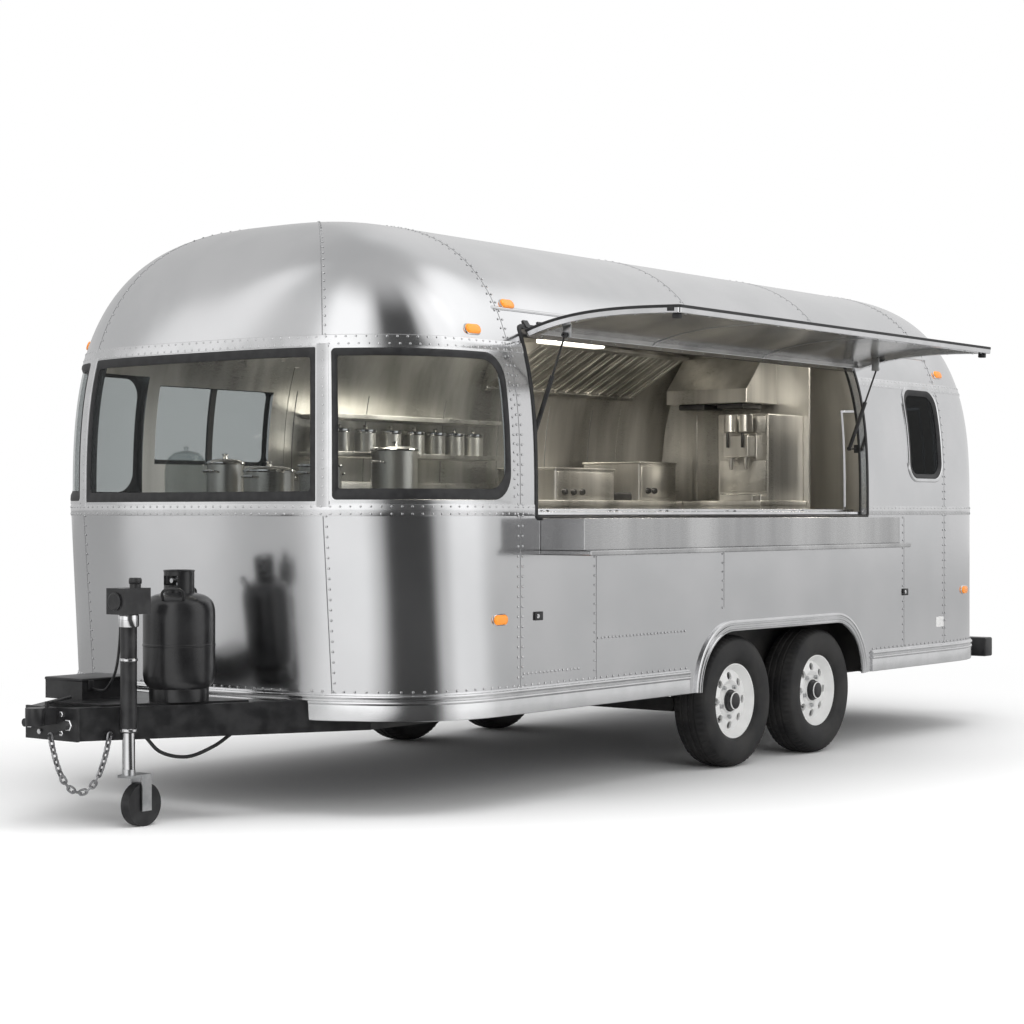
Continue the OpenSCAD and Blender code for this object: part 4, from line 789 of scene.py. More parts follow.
FORM = ShellForm()
OPENING = Loop((-0.905, 1.312), (2.217, 2.170), (0.012,) * 4)
FRONT, REAR = Patch(FORM, Zone.FRONT), Patch(FORM, Zone.REAR)
LEFT, RIGHT = Patch(FORM, Zone.LEFT), Patch(FORM, Zone.RIGHT)


def level(u0: float, u1: float, z: float, count: int = 0) -> Array:
    """A level path on the skin."""
    count = count or max(2, int(abs(u1 - u0) / 0.02))
    u = np.linspace(u0, u1, count)
    return np.stack([u, np.full(count, z)], -1)


def upright(u: float, z0: float, z1: float, count: int = 0) -> Array:
    """An upright path on the skin, its points even round the shoulder."""
    count = count or max(2, int(abs(z1 - z0) / 0.02))
    if min(z0, z1) < FORM.belt_z:
        z = np.linspace(z0, z1, count)
    else:
        z = FORM.rise(np.linspace(FORM.share_of(z0), FORM.share_of(z1), count))
    return np.stack([np.full(count, u), z], -1)


def within(u: Array, z: Array, low: Sequence[float], high: Sequence[float]) -> Array:
    """Which places lie in a box given along and up."""
    return (u > low[0]) & (u < high[0]) & (z > low[1]) & (z < high[1])


def stops(*values: float, step: float) -> Array:
    """Grid lines through every given value, no further apart than the step."""
    parts = [np.linspace(a, b, max(2, int(math.ceil((b - a) / step)) + 1))
             for a, b in zip(values, values[1:])]
    return np.unique(np.concatenate(parts).round(7))


@dataclass
class Body:
    """The shell: walls, domes and roof as smooth sheets with their openings."""

    door_gap: tuple[float, float] = (0.75, 0.016)
    small_window: Loop = Loop((-1.827, 1.545), (-1.453, 2.035), (0.0,) * 4)
    slider: Loop = Loop((1.487, 1.586), (2.329, 2.004), (0.0,) * 4)
    bar_slot_z: float = 0.506
    bar_slot_half: float = 0.045
    bar_nose: tuple[float, float] = (4.010, 0.105)
    bar_angle: float = 30.099
    lining: tuple[Finishes, ...] = (Finishes.SKIN, Finishes.STEEL)

    @staticmethod
    def end_sheet(angles: Array, heights: Array, keep: Array | None, front: bool) -> Shape:
        """A sheet of a rounded end over plan angles (degrees) and heights."""
        a, z = np.meshgrid(np.radians(angles), heights)
        return thick_sheet(FORM.end(a, z, 0.0, front), FORM.end(a, z, FORM.wall_t, front), keep)

    @staticmethod
    def cells(lines: Array) -> Array:
        """Middles between grid lines."""
        return (lines[1:] + lines[:-1]) / 2

    def front_wall(self) -> None:
        """The front wall with its three window openings and the slots the drawbar passes through."""
        half = np.unique(np.concatenate([
            stops(0, CENTRE_PANE, step=1.4), stops(CENTRE_PANE, CORNER_PANE[0], step=1.2),
            stops(*CORNER_PANE, step=1.2), stops(CORNER_PANE[1], 90, step=1.3)]))
        angles = np.concatenate([-half[:0:-1], half])
        heights = stops(FORM.skirt_z, self.bar_slot_z, FORM.belt_z, *PANE_Z, FORM.eave_z, step=0.03)
        a, z = np.meshgrid(np.abs(self.cells(angles)), self.cells(heights))
        glazed = (a < CENTRE_PANE) | ((a > CORNER_PANE[0]) & (a < CORNER_PANE[1]))
        keep = ~(glazed & (z > PANE_Z[0]) & (z < PANE_Z[1]))
        p = FORM.end(np.radians(a), z, FORM.wall_t / 2, True) - SHIFT
        bar = self.bar_nose[1] + (self.bar_nose[0] - p[..., 0]) * math.tan(math.radians(self.bar_angle))
        keep &= ~((np.abs(p[..., 1] - bar) < self.bar_slot_half) & (z < self.bar_slot_z))
        self.end_sheet(angles, heights, keep, True).build("front_wall_skin", self.lining, ["front_wall"])

    def domes(self) -> None:
        """The two domes, closed at the crown."""
        heights = FORM.rise(np.linspace(FORM.share_of(FORM.eave_z), 1.0, 44))
        angles = np.linspace(-90, 90, 145)
        for front, name in ((True, "front_dome"), (False, "rear_dome")):
            self.end_sheet(angles, heights, None, front).build(name + "_skin", self.lining, [name])

    @staticmethod
    def arch_edge(x: Array) -> Array:
        """Lower edge of a side wall: the skirt, lifted over the wheels."""
        out = np.clip(np.abs(x) - (ARCH_HALF - ARCH_R), 0, ARCH_R)
        arch = ARCH_Z - ARCH_R + np.sqrt(ARCH_R**2 - out**2)
        return np.where(np.abs(x) < ARCH_HALF, np.maximum(arch, FORM.skirt_z), FORM.skirt_z)

    def sides(self) -> None:
        """The two side walls, their lower edges arched over the wheels."""
        bend = ARCH_HALF - ARCH_R * (1 - np.sin(np.linspace(0, np.pi / 2, 28)))
        bend = np.concatenate([-bend, bend])
        for patch, name, openings in (
            (LEFT, "left_wall", [OPENING, self.small_window]), (RIGHT, "right_wall", [self.slider]),
        ):
            corners = np.array([corner for o in openings for corner in (o.low, o.high)])
            ends = np.unique([-FORM.rear_start, FORM.front_start, *corners[:, 0]])
            across = np.unique(np.concatenate([stops(*ends, step=0.05), bend]).round(6))
            ups = np.unique([OPENING.low[1], FORM.belt_z, FORM.wall_top_z, *corners[:, 1]])
            high = stops(*ups, step=0.03)
            low = np.linspace(0, 1, 26)[:-1, None]
            edge = self.arch_edge(across)
            z = np.concatenate([edge + low * (high[0] - edge), np.repeat(high[:, None], len(across), 1)])
            x = np.repeat(across[None], len(z), 0)
            mid_x, mid_z = (x[1:, 1:] + x[:-1, :-1]) / 2, (z[1:, 1:] + z[:-1, :-1]) / 2
            keep = np.ones(mid_x.shape, bool)
            for opening in openings:
                keep &= ~within(mid_x, mid_z, opening.low, opening.high)
            thick_sheet(patch.at(x, z, 0.0), patch.at(x, z, FORM.wall_t), keep).build(
                name + "_skin", self.lining, [name])

    def roof(self) -> None:
        """The roof between the domes, over the crown from wall to wall."""
        z = FORM.rise(np.linspace(FORM.share_of(FORM.wall_top_z), 1.0, 40))
        x = np.linspace(-FORM.rear_start, FORM.front_start, 90)
        grids = []
        for deep in (0.0, FORM.wall_t):
            left, right = LEFT.at(x[None], z[:, None], deep), RIGHT.at(x[None], z[:, None], deep)
            grids.append(np.concatenate([left, right[-2::-1]]))
        thick_sheet(*grids).build("roof_skin", self.lining, ["roof"])

    def rear_wall(self) -> None:
        """The rounded rear with its doorway."""
        gap_a, gap_z = self.door_gap
        low, high = (DOOR_ANGLES[0] - gap_a, DOOR_Z[0] - gap_z), (DOOR_ANGLES[1] + gap_a, DOOR_Z[1] + gap_z)
        angles = stops(-90, low[0], high[0], 90, step=1.4)
        heights = stops(FORM.skirt_z, low[1], high[1], FORM.eave_z, step=0.03)
        heights = np.unique(np.append(heights, FORM.belt_z))
        a, z = np.meshgrid(self.cells(angles), self.cells(heights))
        keep = ~within(a, z, low, high)
        self.end_sheet(angles, heights, keep, False).build("rear_wall_skin", self.lining, ["rear_wall"])

    def build(self) -> None:
        """Builds every sheet."""
        self.front_wall()
        self.domes()
        self.sides()
        self.roof()
        self.rear_wall()


@dataclass
class Trims:
    """Belts, seams, rivets, the skirt rail and the wheel arch trims."""

    pitch: float = 0.045
    belt_places: tuple[tuple[float, float], ...] = ((1.338, 0.052), (2.078, 0.050))
    row_off: float = 0.016
    jamb_gap: float = 0.021
    arch_w: float = 0.058
    seam_low: float = 0.540
    under_counter: float = 1.298
    under_belt: float = 1.312
    over_belt: float = 1.364
    over_eave: float = 2.104
    end_crown: float = 2.699
    side_crown: float = 2.6995
    mullion: float = (CENTRE_PANE + CORNER_PANE[0]) / 2
    end_run: float = field(default_factory=lambda: FORM.run(90.0))
    bars: list[Shape] = field(default_factory=list)
    lines: list[Shape] = field(default_factory=list)
    rivets: list[tuple[Array, Array]] = field(default_factory=list)

    def rivet_row(self, patch: Patch, path: Array, pitch: float | None = None) -> None:
        """Adds a row of rivets along a path."""
        self.rivets.append(patch.row(path, pitch or self.pitch))

    def belts(self) -> None:
        """The sill belt and the eave belt round the body, each a strip with a rivet row along both edges."""
        e = self.end_run
        runs = [(FRONT, -e, e), (REAR, -e, e), (LEFT, OPENING.high[0] + self.jamb_gap, FORM.front_start),
                (LEFT, -FORM.rear_start, OPENING.low[0] - self.jamb_gap),
                (RIGHT, -FORM.rear_start, FORM.front_start)]
        for middle, width in self.belt_places:
            for patch, u0, u1 in runs:
                self.bars.append(patch.bar(level(u0, u1, middle), strap(width, 0.0022)))
                for z in (middle - self.row_off, middle + self.row_off):
                    self.rivet_row(patch, level(u0 + 0.01, u1 - 0.01, z))

    def seam(self, patch: Patch, path: Array, offsets: Sequence[float] = (-0.014,)) -> None:
        """A lap seam: a dark line where the sheets meet, with rivets beside it."""
        self.lines.append(patch.bar(path, strap(0.0045, 0.0007)))
        for offset in offsets:
            along = np.gradient(path, axis=0)
            along /= np.linalg.norm(along, axis=1, keepdims=True)
            shifted = path + offset * np.stack([-along[:, 1], along[:, 0]], -1)
            self.rivet_row(patch, shifted)

    def seams(self) -> None:
        """Upright and level seams of the ends, the sides and the roof."""
        m, low, wall_top = FORM.run(self.mullion), self.seam_low, FORM.wall_top_z
        for s in (-1, 1):
            for patch, u in ((FRONT, s * m), (REAR, s * m * 1.35)):
                self.seam(patch, upright(u, low, self.under_belt))
                self.seam(patch, upright(u, self.over_eave, self.end_crown, 70))
        for patch in (LEFT, RIGHT):
            for x in (FORM.front_start - 0.03, -FORM.rear_start + 0.02):
                for path in (upright(x, low, self.under_belt), upright(x, self.over_belt, wall_top, 40),
                             upright(x, wall_top, self.side_crown, 60)):
                    self.seam(patch, path, (-self.row_off, self.row_off))
            for x, foot in ((1.755, low), (0.622, 0.84), (-1.36, low)):
                self.seam(patch, upright(x, foot, self.under_counter))
        for x in (0.622, -0.70):
            for patch in (LEFT, RIGHT):
                self.seam(patch, upright(x, wall_top + 0.03, self.side_crown, 60))
        for x, foot, head in ((1.755, self.over_belt, 1.52), (1.755, self.over_eave, wall_top),
                              (0.622, self.over_belt, wall_top), (-0.70, self.over_belt, wall_top)):
            self.seam(RIGHT, upright(x, foot, head, 40))
        self.rivet_row(LEFT, level(0.99, 1.74, 0.735), 0.03)
        self.rivet_row(LEFT, level(1.90, 2.32, 0.60), 0.03)
        self.rivet_row(RIGHT, level(0.99, 1.74, 0.735), 0.03)
        for patch in (LEFT, RIGHT):
            self.bars.append(patch.bar(level(-FORM.rear_start, FORM.front_start, FORM.wall_top_z + 0.012),
                                       ridge(0.016, 0.006)))

    def mullions(self) -> None:
        """Riveted strips on the pillars between the front panes, and rivets at the outer ends."""
        middle = FORM.run(self.mullion)
        for s in (-1, 1):
            self.bars.append(FRONT.bar(upright(s * middle, 1.352, 2.064, 40), strap(0.062, 0.0026)))
            for u in (middle, self.end_run - 0.012):
                self.rivet_row(FRONT, upright(s * u, 1.40, 2.03), 0.04)

    def skirt(self) -> None:
        """The skirt rail: a plain band with two beads, carried round the ends and along the sides."""
        e, base = self.end_run, FORM.skirt_z
        band = np.array([(0.0, 0.002), (0.0, -0.007), (0.003, -0.009), (0.066, -0.009), (0.070, -0.008),
                         (0.073, -0.0135), (0.079, -0.0155), (0.085, -0.0135), (0.088, -0.009),
                         (0.096, -0.009), (0.099, -0.0135), (0.105, -0.0155), (0.111, -0.0135),
                         (0.114, -0.008), (0.120, -0.006), (0.120, 0.002)])
        parts = []
        edge = ARCH_HALF + self.arch_w
        slot = [FORM.run(d) for d in (24.2, 29.6)]
        for patch, u0, u1 in ((FRONT, -e, -slot[1]), (FRONT, -slot[0], slot[0]), (FRONT, slot[1], e),
                              (REAR, -e, e), (LEFT, edge, FORM.front_start), (LEFT, -FORM.rear_start, -edge),
                              (RIGHT, edge, FORM.front_start), (RIGHT, -FORM.rear_start, -edge)):
            parts.append(patch.bar(level(u0, u1, base), band))
            self.rivet_row(patch, level(u0 + 0.02, u1 - 0.02, base + 0.128), 0.05)
        for u0, u1 in ((-slot[1], -slot[0]), (slot[0], slot[1])):
            parts.append(FRONT.bar(level(u0, u1, base + 0.088, 8), band[8:] - [0.088, 0.0]))
        Shape.join(parts).build("skirt_rail_bead", [Finishes.TRIM], ["skirt_rail"])

    def arches(self) -> None:
        """Ridged trims round the wheel arches."""
        w = self.arch_w
        section = np.array([(0.0, 0.001), (0.0, -0.012), (-0.004, -0.0142), (-0.012, -0.0142),
                            (-0.016, -0.010), (-0.021, -0.010), (-0.025, -0.0142), (-0.034, -0.0142),
                            (-0.038, -0.010), (-0.043, -0.010), (-0.047, -0.0135), (-0.054, -0.0125),
                            (-w, -0.004), (-w, 0.001)])
        a = np.radians(np.linspace(2, 90, 30))
        right = np.stack([ARCH_HALF - ARCH_R + ARCH_R * np.cos(a), ARCH_Z - ARCH_R + ARCH_R * np.sin(a)], -1)
        left = right[::-1] * [-1, 1]
        foot = FORM.skirt_z + 0.001
        path = np.concatenate([[(ARCH_HALF, foot)], right[1:], level(0.50, -0.50, ARCH_Z, 30), left[:-1],
                               [(-ARCH_HALF, foot)]])
        shapes = [patch.bar(path[::-1], section) for patch in (LEFT, RIGHT)]
        Shape.join(shapes).build("arch_trim_ridges", [Finishes.TRIM], ["arch_trim"])

    def build(self) -> None:
        """Builds the trims and every rivet."""
        self.belts()
        self.seams()
        self.mullions()
        self.skirt()
        self.arches()
        Shape.join(self.bars).build("belts", [Finishes.TRIM])
        Shape.join(self.lines).build("seam_lines", [Finishes.SEAM])
        points = np.concatenate([p for p, _ in self.rivets])
        normals = np.concatenate([n for _, n in self.rivets])
        heads(points + normals * 0.0018, normals, RIVET_R, RIVET_H, 6).build("rivets", [Finishes.RIVET])


@dataclass
class Glazing:
    """Curved front panes with their gaskets, and the side windows."""

    glass: tuple[float, float] = (0.006, 0.014)

    def pane(self, patch: Patch, u0: float, u1: float, z0: float, z1: float) -> Shape:
        """A pane bent to the skin, a little inside it."""
        u, z = np.meshgrid(np.linspace(u0, u1, 60), np.linspace(z0, z1, 24))
        return thick_sheet(patch.at(u, z, self.glass[0]), patch.at(u, z, self.glass[1])).marked(0)

    @staticmethod
    def gasket(outer_deep: float = -0.0035) -> Array:
        """Section of a rubber gasket from its outer edge to its lip on the glass."""
        return np.array([(0.0, 0.004), (0.0, outer_deep * 0.6), (0.12, outer_deep), (0.55, outer_deep * 0.7),
                         (1.0, 0.0052), (1.0, 0.0075), (0.5, 0.0075)])

    def front(self) -> None:
        """The centre pane and the two corner panes."""
        c, p0, p1 = (FORM.run(angle) for angle in (CENTRE_PANE, *CORNER_PANE))
        sill, head = PANE_Z
        edge = 0.0006
        panes = [self.pane(FRONT, -c + edge, c - edge, sill + edge, head - edge)]
        gaskets, plates = [], []
        ring = Loop((-c - 0.004, sill - 0.004), (c + 0.004, head + 0.004), (0.006,) * 4)
        lip = Loop((-c + 0.022, sill + 0.040), (c - 0.022, head - 0.034), (0.02,) * 4)
        gaskets.append(FRONT.ring(ring.points(), lip.points(), self.gasket(-0.002)))
        for s in (-1, 1):
            lo, hi = sorted((s * p0, s * p1))
            panes.append(self.pane(FRONT, lo + edge, hi - edge, sill + edge, head - edge))
            radii = (0.12, 0.02, 0.02, 0.12) if s > 0 else (0.02, 0.12, 0.12, 0.02)
            outer = Loop((lo + 0.004, sill + 0.004), (hi - 0.004, head - 0.004), radii)
            inner = outer.grown(-0.028, -0.012)
            low_lip = Loop((inner.low[0], inner.low[1] + 0.02), inner.high, inner.radii)
            gaskets.append(FRONT.ring(outer.points(), low_lip.points(), self.gasket()))
            frame_out = Loop((lo - 0.012, sill - 0.012), (hi + 0.012, head + 0.012), (0.02,) * 4)
            plates.append(FRONT.ring(frame_out.points(), outer.grown(0.001).points(),
                                     np.array([(0.0, 0.0006), (0.0, -0.0022), (1.0, -0.0026),
                                               (1.0, 0.0006)])))
        Shape.join(panes).build("front_panes", [Finishes.PANE], ["front_glass"])
        Shape.join(gaskets).build("front_gaskets", [Finishes.RUBBER])
        Shape.join(plates).build("corner_pane_frames", [Finishes.TRIM])

    def framed(self, patch: Patch, loop: Loop) -> tuple[Shape, Shape, Shape]:
        """A flat window: its pane, black gasket and bright frame."""
        pane = self.pane(patch, loop.low[0], loop.high[0], loop.low[1], loop.high[1])
        gasket = patch.ring(loop.grown(0.006).points(), loop.grown(-0.024, -0.012).points(),
                            self.gasket(-0.007))
        bright = patch.ring(loop.grown(0.026).points(), loop.grown(0.004).points(),
                            np.array([(0.0, 0.0006), (0.0, -0.004), (0.25, -0.008), (0.75, -0.008),
                                      (1.0, -0.005), (1.0, 0.0006)]))
        return pane, gasket, bright

    def sides(self) -> None:
        """The small rounded window behind the serving hatch and the slider in the other wall."""
        small = self.framed(LEFT, Loop((-1.84, 1.532), (-1.44, 2.048), (0.09,) * 4))
        slide = self.framed(RIGHT, Loop((1.481, 1.58), (2.337, 2.01), (0.045,) * 4))
        section = np.array([(-0.018, 0.016), (-0.018, 0.001), (0.018, 0.001), (0.018, 0.016)])
        bar = RIGHT.bar(upright(1.909, 1.59, 2.0, 24), section)
        small[0].build("small_window_pane", [Finishes.DARK_PANE], ["side_windows"])
        slide[0].build("slider_pane", [Finishes.PANE])
        Shape.join([small[1], slide[1], bar]).build("side_window_gaskets", [Finishes.RUBBER])
        Shape.join([small[2], slide[2]]).build("side_window_frames", [Finishes.TRIM])

    def build(self) -> None:
        """Builds all the glazing."""
        self.front()
        self.sides()


def spot(x: float, y: float, z: float) -> Array:
    """A place given from the axles' midpoint, in the model's frame."""
    return np.array([x, y, z]) + SHIFT


def block(low: Sequence[float], high: Sequence[float], radius: float = 0.003) -> Shape:
    """A box with eased edges, its corners given from the axles' midpoint."""
    return soft_box(np.asarray(low, float) + SHIFT, np.asarray(high, float) + SHIFT, radius)


def axes(first: Sequence[float], second: Sequence[float], place: Sequence[float]) -> Matrix:
    """A frame from two directions and a place; the third direction is square to both."""
    x, y = Vector(first).normalized(), Vector(second).normalized()
    z = x.cross(y)
    return Matrix(((x[0], y[0], z[0], place[0]), (x[1], y[1], z[1], place[1]), (x[2], y[2], z[2], place[2]),
                   (0.0, 0.0, 0.0, 1.0)))


def facing(direction: Sequence[float], place: Sequence[float]) -> Matrix:
    """A frame whose Z points in a direction."""
    z = Vector(direction).normalized()
    x = Vector((0.0, 0.0, 1.0)).cross(z) if abs(z[2]) < 0.9 else Vector((1.0, 0.0, 0.0))
    return axes(x, z.cross(x), place)


def seat(patch: Patch, u: float, z: float) -> Matrix:
    """A frame on the skin: X along it, Y up it and Z away from it."""
    n = patch.normal(np.array([u]), np.array([z]))[0]
    return facing(n, patch.at(np.array([u]), np.array([z]))[0])


def turn_about(axis: Sequence[float], place: Sequence[float], degrees: float) -> Matrix:
    """A turn about an axis through a place."""
    turn = Matrix.Rotation(math.radians(degrees), 4, Vector(axis))
    return Matrix.Translation(place) @ turn @ Matrix.Translation(-Vector(place))


@dataclass
class Hatch:
    """The serving hatch: a curved skin in a bright frame, lined with brushed steel, swung up on its hinge."""

    gap: float = 0.006
    rim: float = 0.046
    axis: tuple[float, float] = (1.13274, 2.170)
    opened: float = 88.0

    def swing(self) -> Matrix:
        """The turn from shut to open."""
        return turn_about((1, 0, 0), spot(0.0, *self.axis), self.opened)

    def loop(self, by: float = 0.0) -> Loop:
        """The panel's outline, a gap inside the opening, moved outwards."""
        return OPENING.grown(-self.gap, 0.0).grown(by)

    def panel(self) -> Shape:
        """Outer skin and inner liner, each a curved sheet."""
        (x0, z0), (x1, z1) = self.loop().low, self.loop().high
        x, z = np.meshgrid(np.linspace(x0 + 0.006, x1 - 0.006, 60), np.linspace(z0 + 0.006, z1 - 0.006, 40))
        skin = thick_sheet(LEFT.at(x, z, 0.0), LEFT.at(x, z, 0.004)).marked(0)
        r = self.rim - 0.004
        x, z = np.meshgrid(np.linspace(x0 + r, x1 - r, 60), np.linspace(z0 + r, z1 - r, 40))
        liner = thick_sheet(LEFT.at(x, z, 0.006), LEFT.at(x, z, 0.0095)).marked(1)
        return Shape.join([skin, liner])

    def frame(self) -> Shape:
        """The bright frame round the panel."""
        section = np.array([(0.0, 0.0025), (0.0, 0.0295), (0.05, 0.032), (0.95, 0.032), (1.0, 0.030),
                            (1.0, 0.003)])
        return LEFT.ring(self.loop().points(6, 40), self.loop(-self.rim).points(6, 40), section)

    def edging(self) -> Shape:
        """The black rubber along the panel's outer edge."""
        section = np.array([(0.0, 0.009), (0.0, -0.003), (0.3, -0.005), (1.0, -0.003), (1.0, 0.001)])
        return LEFT.ring(self.loop(0.0015).points(6, 40), self.loop(-0.014).points(6, 40), section)

    def hinge(self) -> Shape:
        """The hatch's halves of the hinges and the plates that the struts push."""
        y, z = self.axis
        parts = []
        for x in -0.755 + 0.5644 * np.arange(6):
            pin = np.linspace(spot(x, y, z), spot(x + 0.075, y, z), 3)
            parts.append(tube(pin, 0.008, 14))
            parts.append(block((x, 1.117, z - 0.026), (x + 0.075, y, z - 0.001), 0.001))
        for x in (2.1267, -0.8207):
            parts.append(block((x, 1.0935, 1.957), (x + 0.006, 1.165, 2.003), 0.002))
        return Shape.join(parts)

    def fittings(self) -> tuple[Shape, Shape]:
        """Joints across the liner and screws round the frame, then the latches at the free corners."""
        (x0, z0), (x1, z1) = self.loop().low, self.loop().high
        strip = np.array([(-0.006, 0.0085), (-0.006, 0.0115), (0.006, 0.0115), (0.006, 0.0085)])
        bars = [LEFT.bar(upright(x, z0 + 0.05, z1 - 0.05, 30), strip) for x in (0.16, 1.21)]
        rows = [level(x0 + 0.08, x1 - 0.08, z0 + 0.022, 16), level(x0 + 0.08, x1 - 0.08, z1 - 0.022, 16),
                upright(x0 + 0.022, z0 + 0.1, z1 - 0.1, 5), upright(x1 - 0.022, z0 + 0.1, z1 - 0.1, 5)]
        places = np.concatenate(rows)
        inward = -LEFT.normal(places[:, 0], places[:, 1])
        screws = heads(LEFT.at(places[:, 0], places[:, 1], 0.032), inward, 0.006, 0.003, 8)
        latches = []
        for x in (x1 - 0.035, x0 + 0.035):
            latches.append(block((x - 0.013, 1.165, z0 + 0.018), (x + 0.013, 1.189, z0 + 0.056), 0.005))
            side = x1 if x > 0 else x0
            latches.append(block((side - 0.003, 1.196, z0 + 0.030), (side + 0.003, 1.214, z0 + 0.066), 0.002))
        return Shape.join([*bars, screws]), Shape.join(latches)

    def build(self) -> None:
        """Builds the hatch as it stands in the photograph."""
        swing = self.swing()
        small, black = self.fittings()
        self.panel().moved(swing).build("hatch_panel", [Finishes.SKIN, Finishes.LINER], ["hatch"], "hatch")
        self.frame().moved(swing).build("hatch_frame", [Finishes.TRIM], body="hatch")
        Shape.join([self.edging(), black]).moved(swing).build("hatch_edging", [Finishes.RUBBER], body="hatch")
        Shape.join([self.hinge(), small]).moved(swing).build("hatch_fittings", [Finishes.ZINC], body="hatch")


@dataclass
class Opening:
    """What lines the serving opening: outer rubber, an inner seal, the sill channel and its stops."""

    sill_top: float = 1.3325
    stops_at: tuple[float, ...] = (-0.80, -0.28, 0.42, 1.06, 1.50, 2.06)

    def build(self) -> None:
        """Builds the rubber, the seal and the sill."""
        outside = np.array([(0.0, 0.001), (0.0, -0.004), (0.3, -0.006), (0.9, -0.005), (1.0, 0.0),
                            (1.0, 0.002)])
        inside = np.array([(0.0, 0.0405), (0.0, 0.046), (1.0, 0.046), (1.0, 0.036), (0.8, 0.036),
                           (0.7, 0.0405)])
        rubber = [LEFT.ring(OPENING.grown(0.020).points(6, 40), OPENING.points(6, 40), outside),
                  LEFT.ring(OPENING.grown(0.030).points(6, 40), OPENING.grown(-0.006).points(6, 40), inside)]
        places = np.array([(x, 1.160, self.sill_top) for x in self.stops_at]) + SHIFT
        rubber.append(heads(places, np.tile([0.0, 0.0, 1.0], (len(places), 1)), 0.009, 0.007, 10))
        Shape.join(rubber).build("opening_rubber", [Finishes.RUBBER])
        sill = [block((-0.90, 1.128, 1.296), (2.212, 1.178, self.sill_top), 0.004),
                block((-0.90, 1.128, 1.330), (2.212, 1.138, 1.346), 0.003)]
        Shape.join(sill).build("sill_channel", [Finishes.TRIM])


@dataclass
class EntryDoor:
    """The door in the rounded rear, a smooth leaf with a light, a pull handle and its half of the hinges."""

    light: tuple[float, float, float, float] = (11.0, 25.0, 1.480, 1.880)
    axis: tuple[float, float] = (-2.7198, 0.7217)

    def leaf(self) -> Shape:
        """The leaf, bent to the rear and open at its light."""
        a0, a1, z0, z1 = self.light
        angles = stops(DOOR_ANGLES[0], a0, a1, DOOR_ANGLES[1], step=1.0)
        heights = stops(DOOR_Z[0], z0, z1, DOOR_Z[1], step=0.03)
        heights = np.unique(np.append(heights, FORM.belt_z))
        a, z = np.meshgrid(Body.cells(angles), Body.cells(heights))
        return Body.end_sheet(angles, heights, ~within(a, z, (a0, z0), (a1, z1)), False)

    def outline(self) -> Loop:
        """The light's outline along the skin."""
        a0, a1, z0, z1 = self.light
        return Loop((FORM.run(a0), z0), (FORM.run(a1), z1), (0.05,) * 4)

    def pane(self) -> Shape:
        """The light's pane."""
        (u0, z0), (u1, z1) = self.outline().low, self.outline().high
        u, z = np.meshgrid(np.linspace(u0, u1, 20), np.linspace(z0, z1, 16))
        return thick_sheet(REAR.at(u, z, 0.006), REAR.at(u, z, 0.014)).marked(0)

    def rubber(self) -> Shape:
        """The gasket of the light and the seal along the leaf's edge."""
        loop = self.outline()
        ring = REAR.ring(loop.grown(0.006).points(), loop.grown(-0.022, -0.012).points(),
                         Glazing.gasket(-0.006))
        start, end = (FORM.run(angle) for angle in DOOR_ANGLES)
        edge = Loop((start + 0.001, DOOR_Z[0] + 0.002), (end - 0.001, DOOR_Z[1] - 0.002), (0.02,) * 4)
        seal = REAR.ring(edge.points(), edge.grown(-0.008).points(),
                         np.array([(0.0, 0.002), (0.0, -0.002), (1.0, -0.0025), (1.0, 0.002)]))
        return Shape.join([ring, seal])

    def bright(self) -> list[Shape]:
        """The light's frame, the pull handle and a row of rivets down each edge."""
        loop = self.outline()
        section = np.array([(0.0, 0.0006), (0.0, -0.004), (0.3, -0.007), (1.0, -0.005), (1.0, 0.0006)])
        border = REAR.ring(loop.grown(0.024).points(), loop.grown(0.004).points(), section)
        grip = smooth_path([(1.108, 0.002), (1.110, -0.026), (1.122, -0.036), (1.18, -0.038), (1.238, -0.036),
                            (1.250, -0.026), (1.252, 0.002)], 6)
        grip_u = np.full(len(grip), loop.low[0] - 0.055)
        handle = tube(REAR.at(grip_u, grip[:, 0], grip[:, 1]), 0.008, 12)
        u, z = np.concatenate([upright(FORM.run(angle), 0.60, 1.97, 30) for angle in (5.6, 30.4)]).T
        return [border, handle, heads(REAR.at(u, z), REAR.normal(u, z), RIVET_R, RIVET_H, 6)]

    def hinges(self) -> list[Shape]:
        """The leaf's half of each hinge: a knuckle, a strap and the ramp between them."""
        end, parts = FORM.run(DOOR_ANGLES[1]), []
        for z0 in (0.740, 1.215):
            parts.append(tube(np.linspace(spot(*self.axis, z0), spot(*self.axis, z0 + 0.045), 3), 0.010, 14))
            parts.append(REAR.bar(level(end - 0.057, end - 0.004, z0 + 0.0225, 6), strap(0.044, 0.005)))
            u, z = np.meshgrid(np.linspace(end - 0.02, end + 0.006, 6), np.array([z0 + 0.001, z0 + 0.044]))
            ramp = np.linspace(0, 1, 6)[None] + 0 * z
            outer, inner = REAR.at(u, z, -0.006 - 0.011 * ramp), REAR.at(u, z, -0.001 - 0.009 * ramp)
            parts.append(thick_sheet(outer, inner).marked(0))
        return parts

    def build(self) -> None:
        """Builds the leaf, its light and its fittings."""
        body = "entry_door"
        self.leaf().build("door_leaf", [Finishes.SKIN, Finishes.STEEL], ["entry_door"], body)
        self.pane().build("door_pane", [Finishes.DARK_PANE], ["door_glass"], body)
        self.rubber().build("door_rubber", [Finishes.RUBBER], body=body)
        Shape.join([*self.bright(), *self.hinges()]).build("door_fittings", [Finishes.TRIM], body=body)


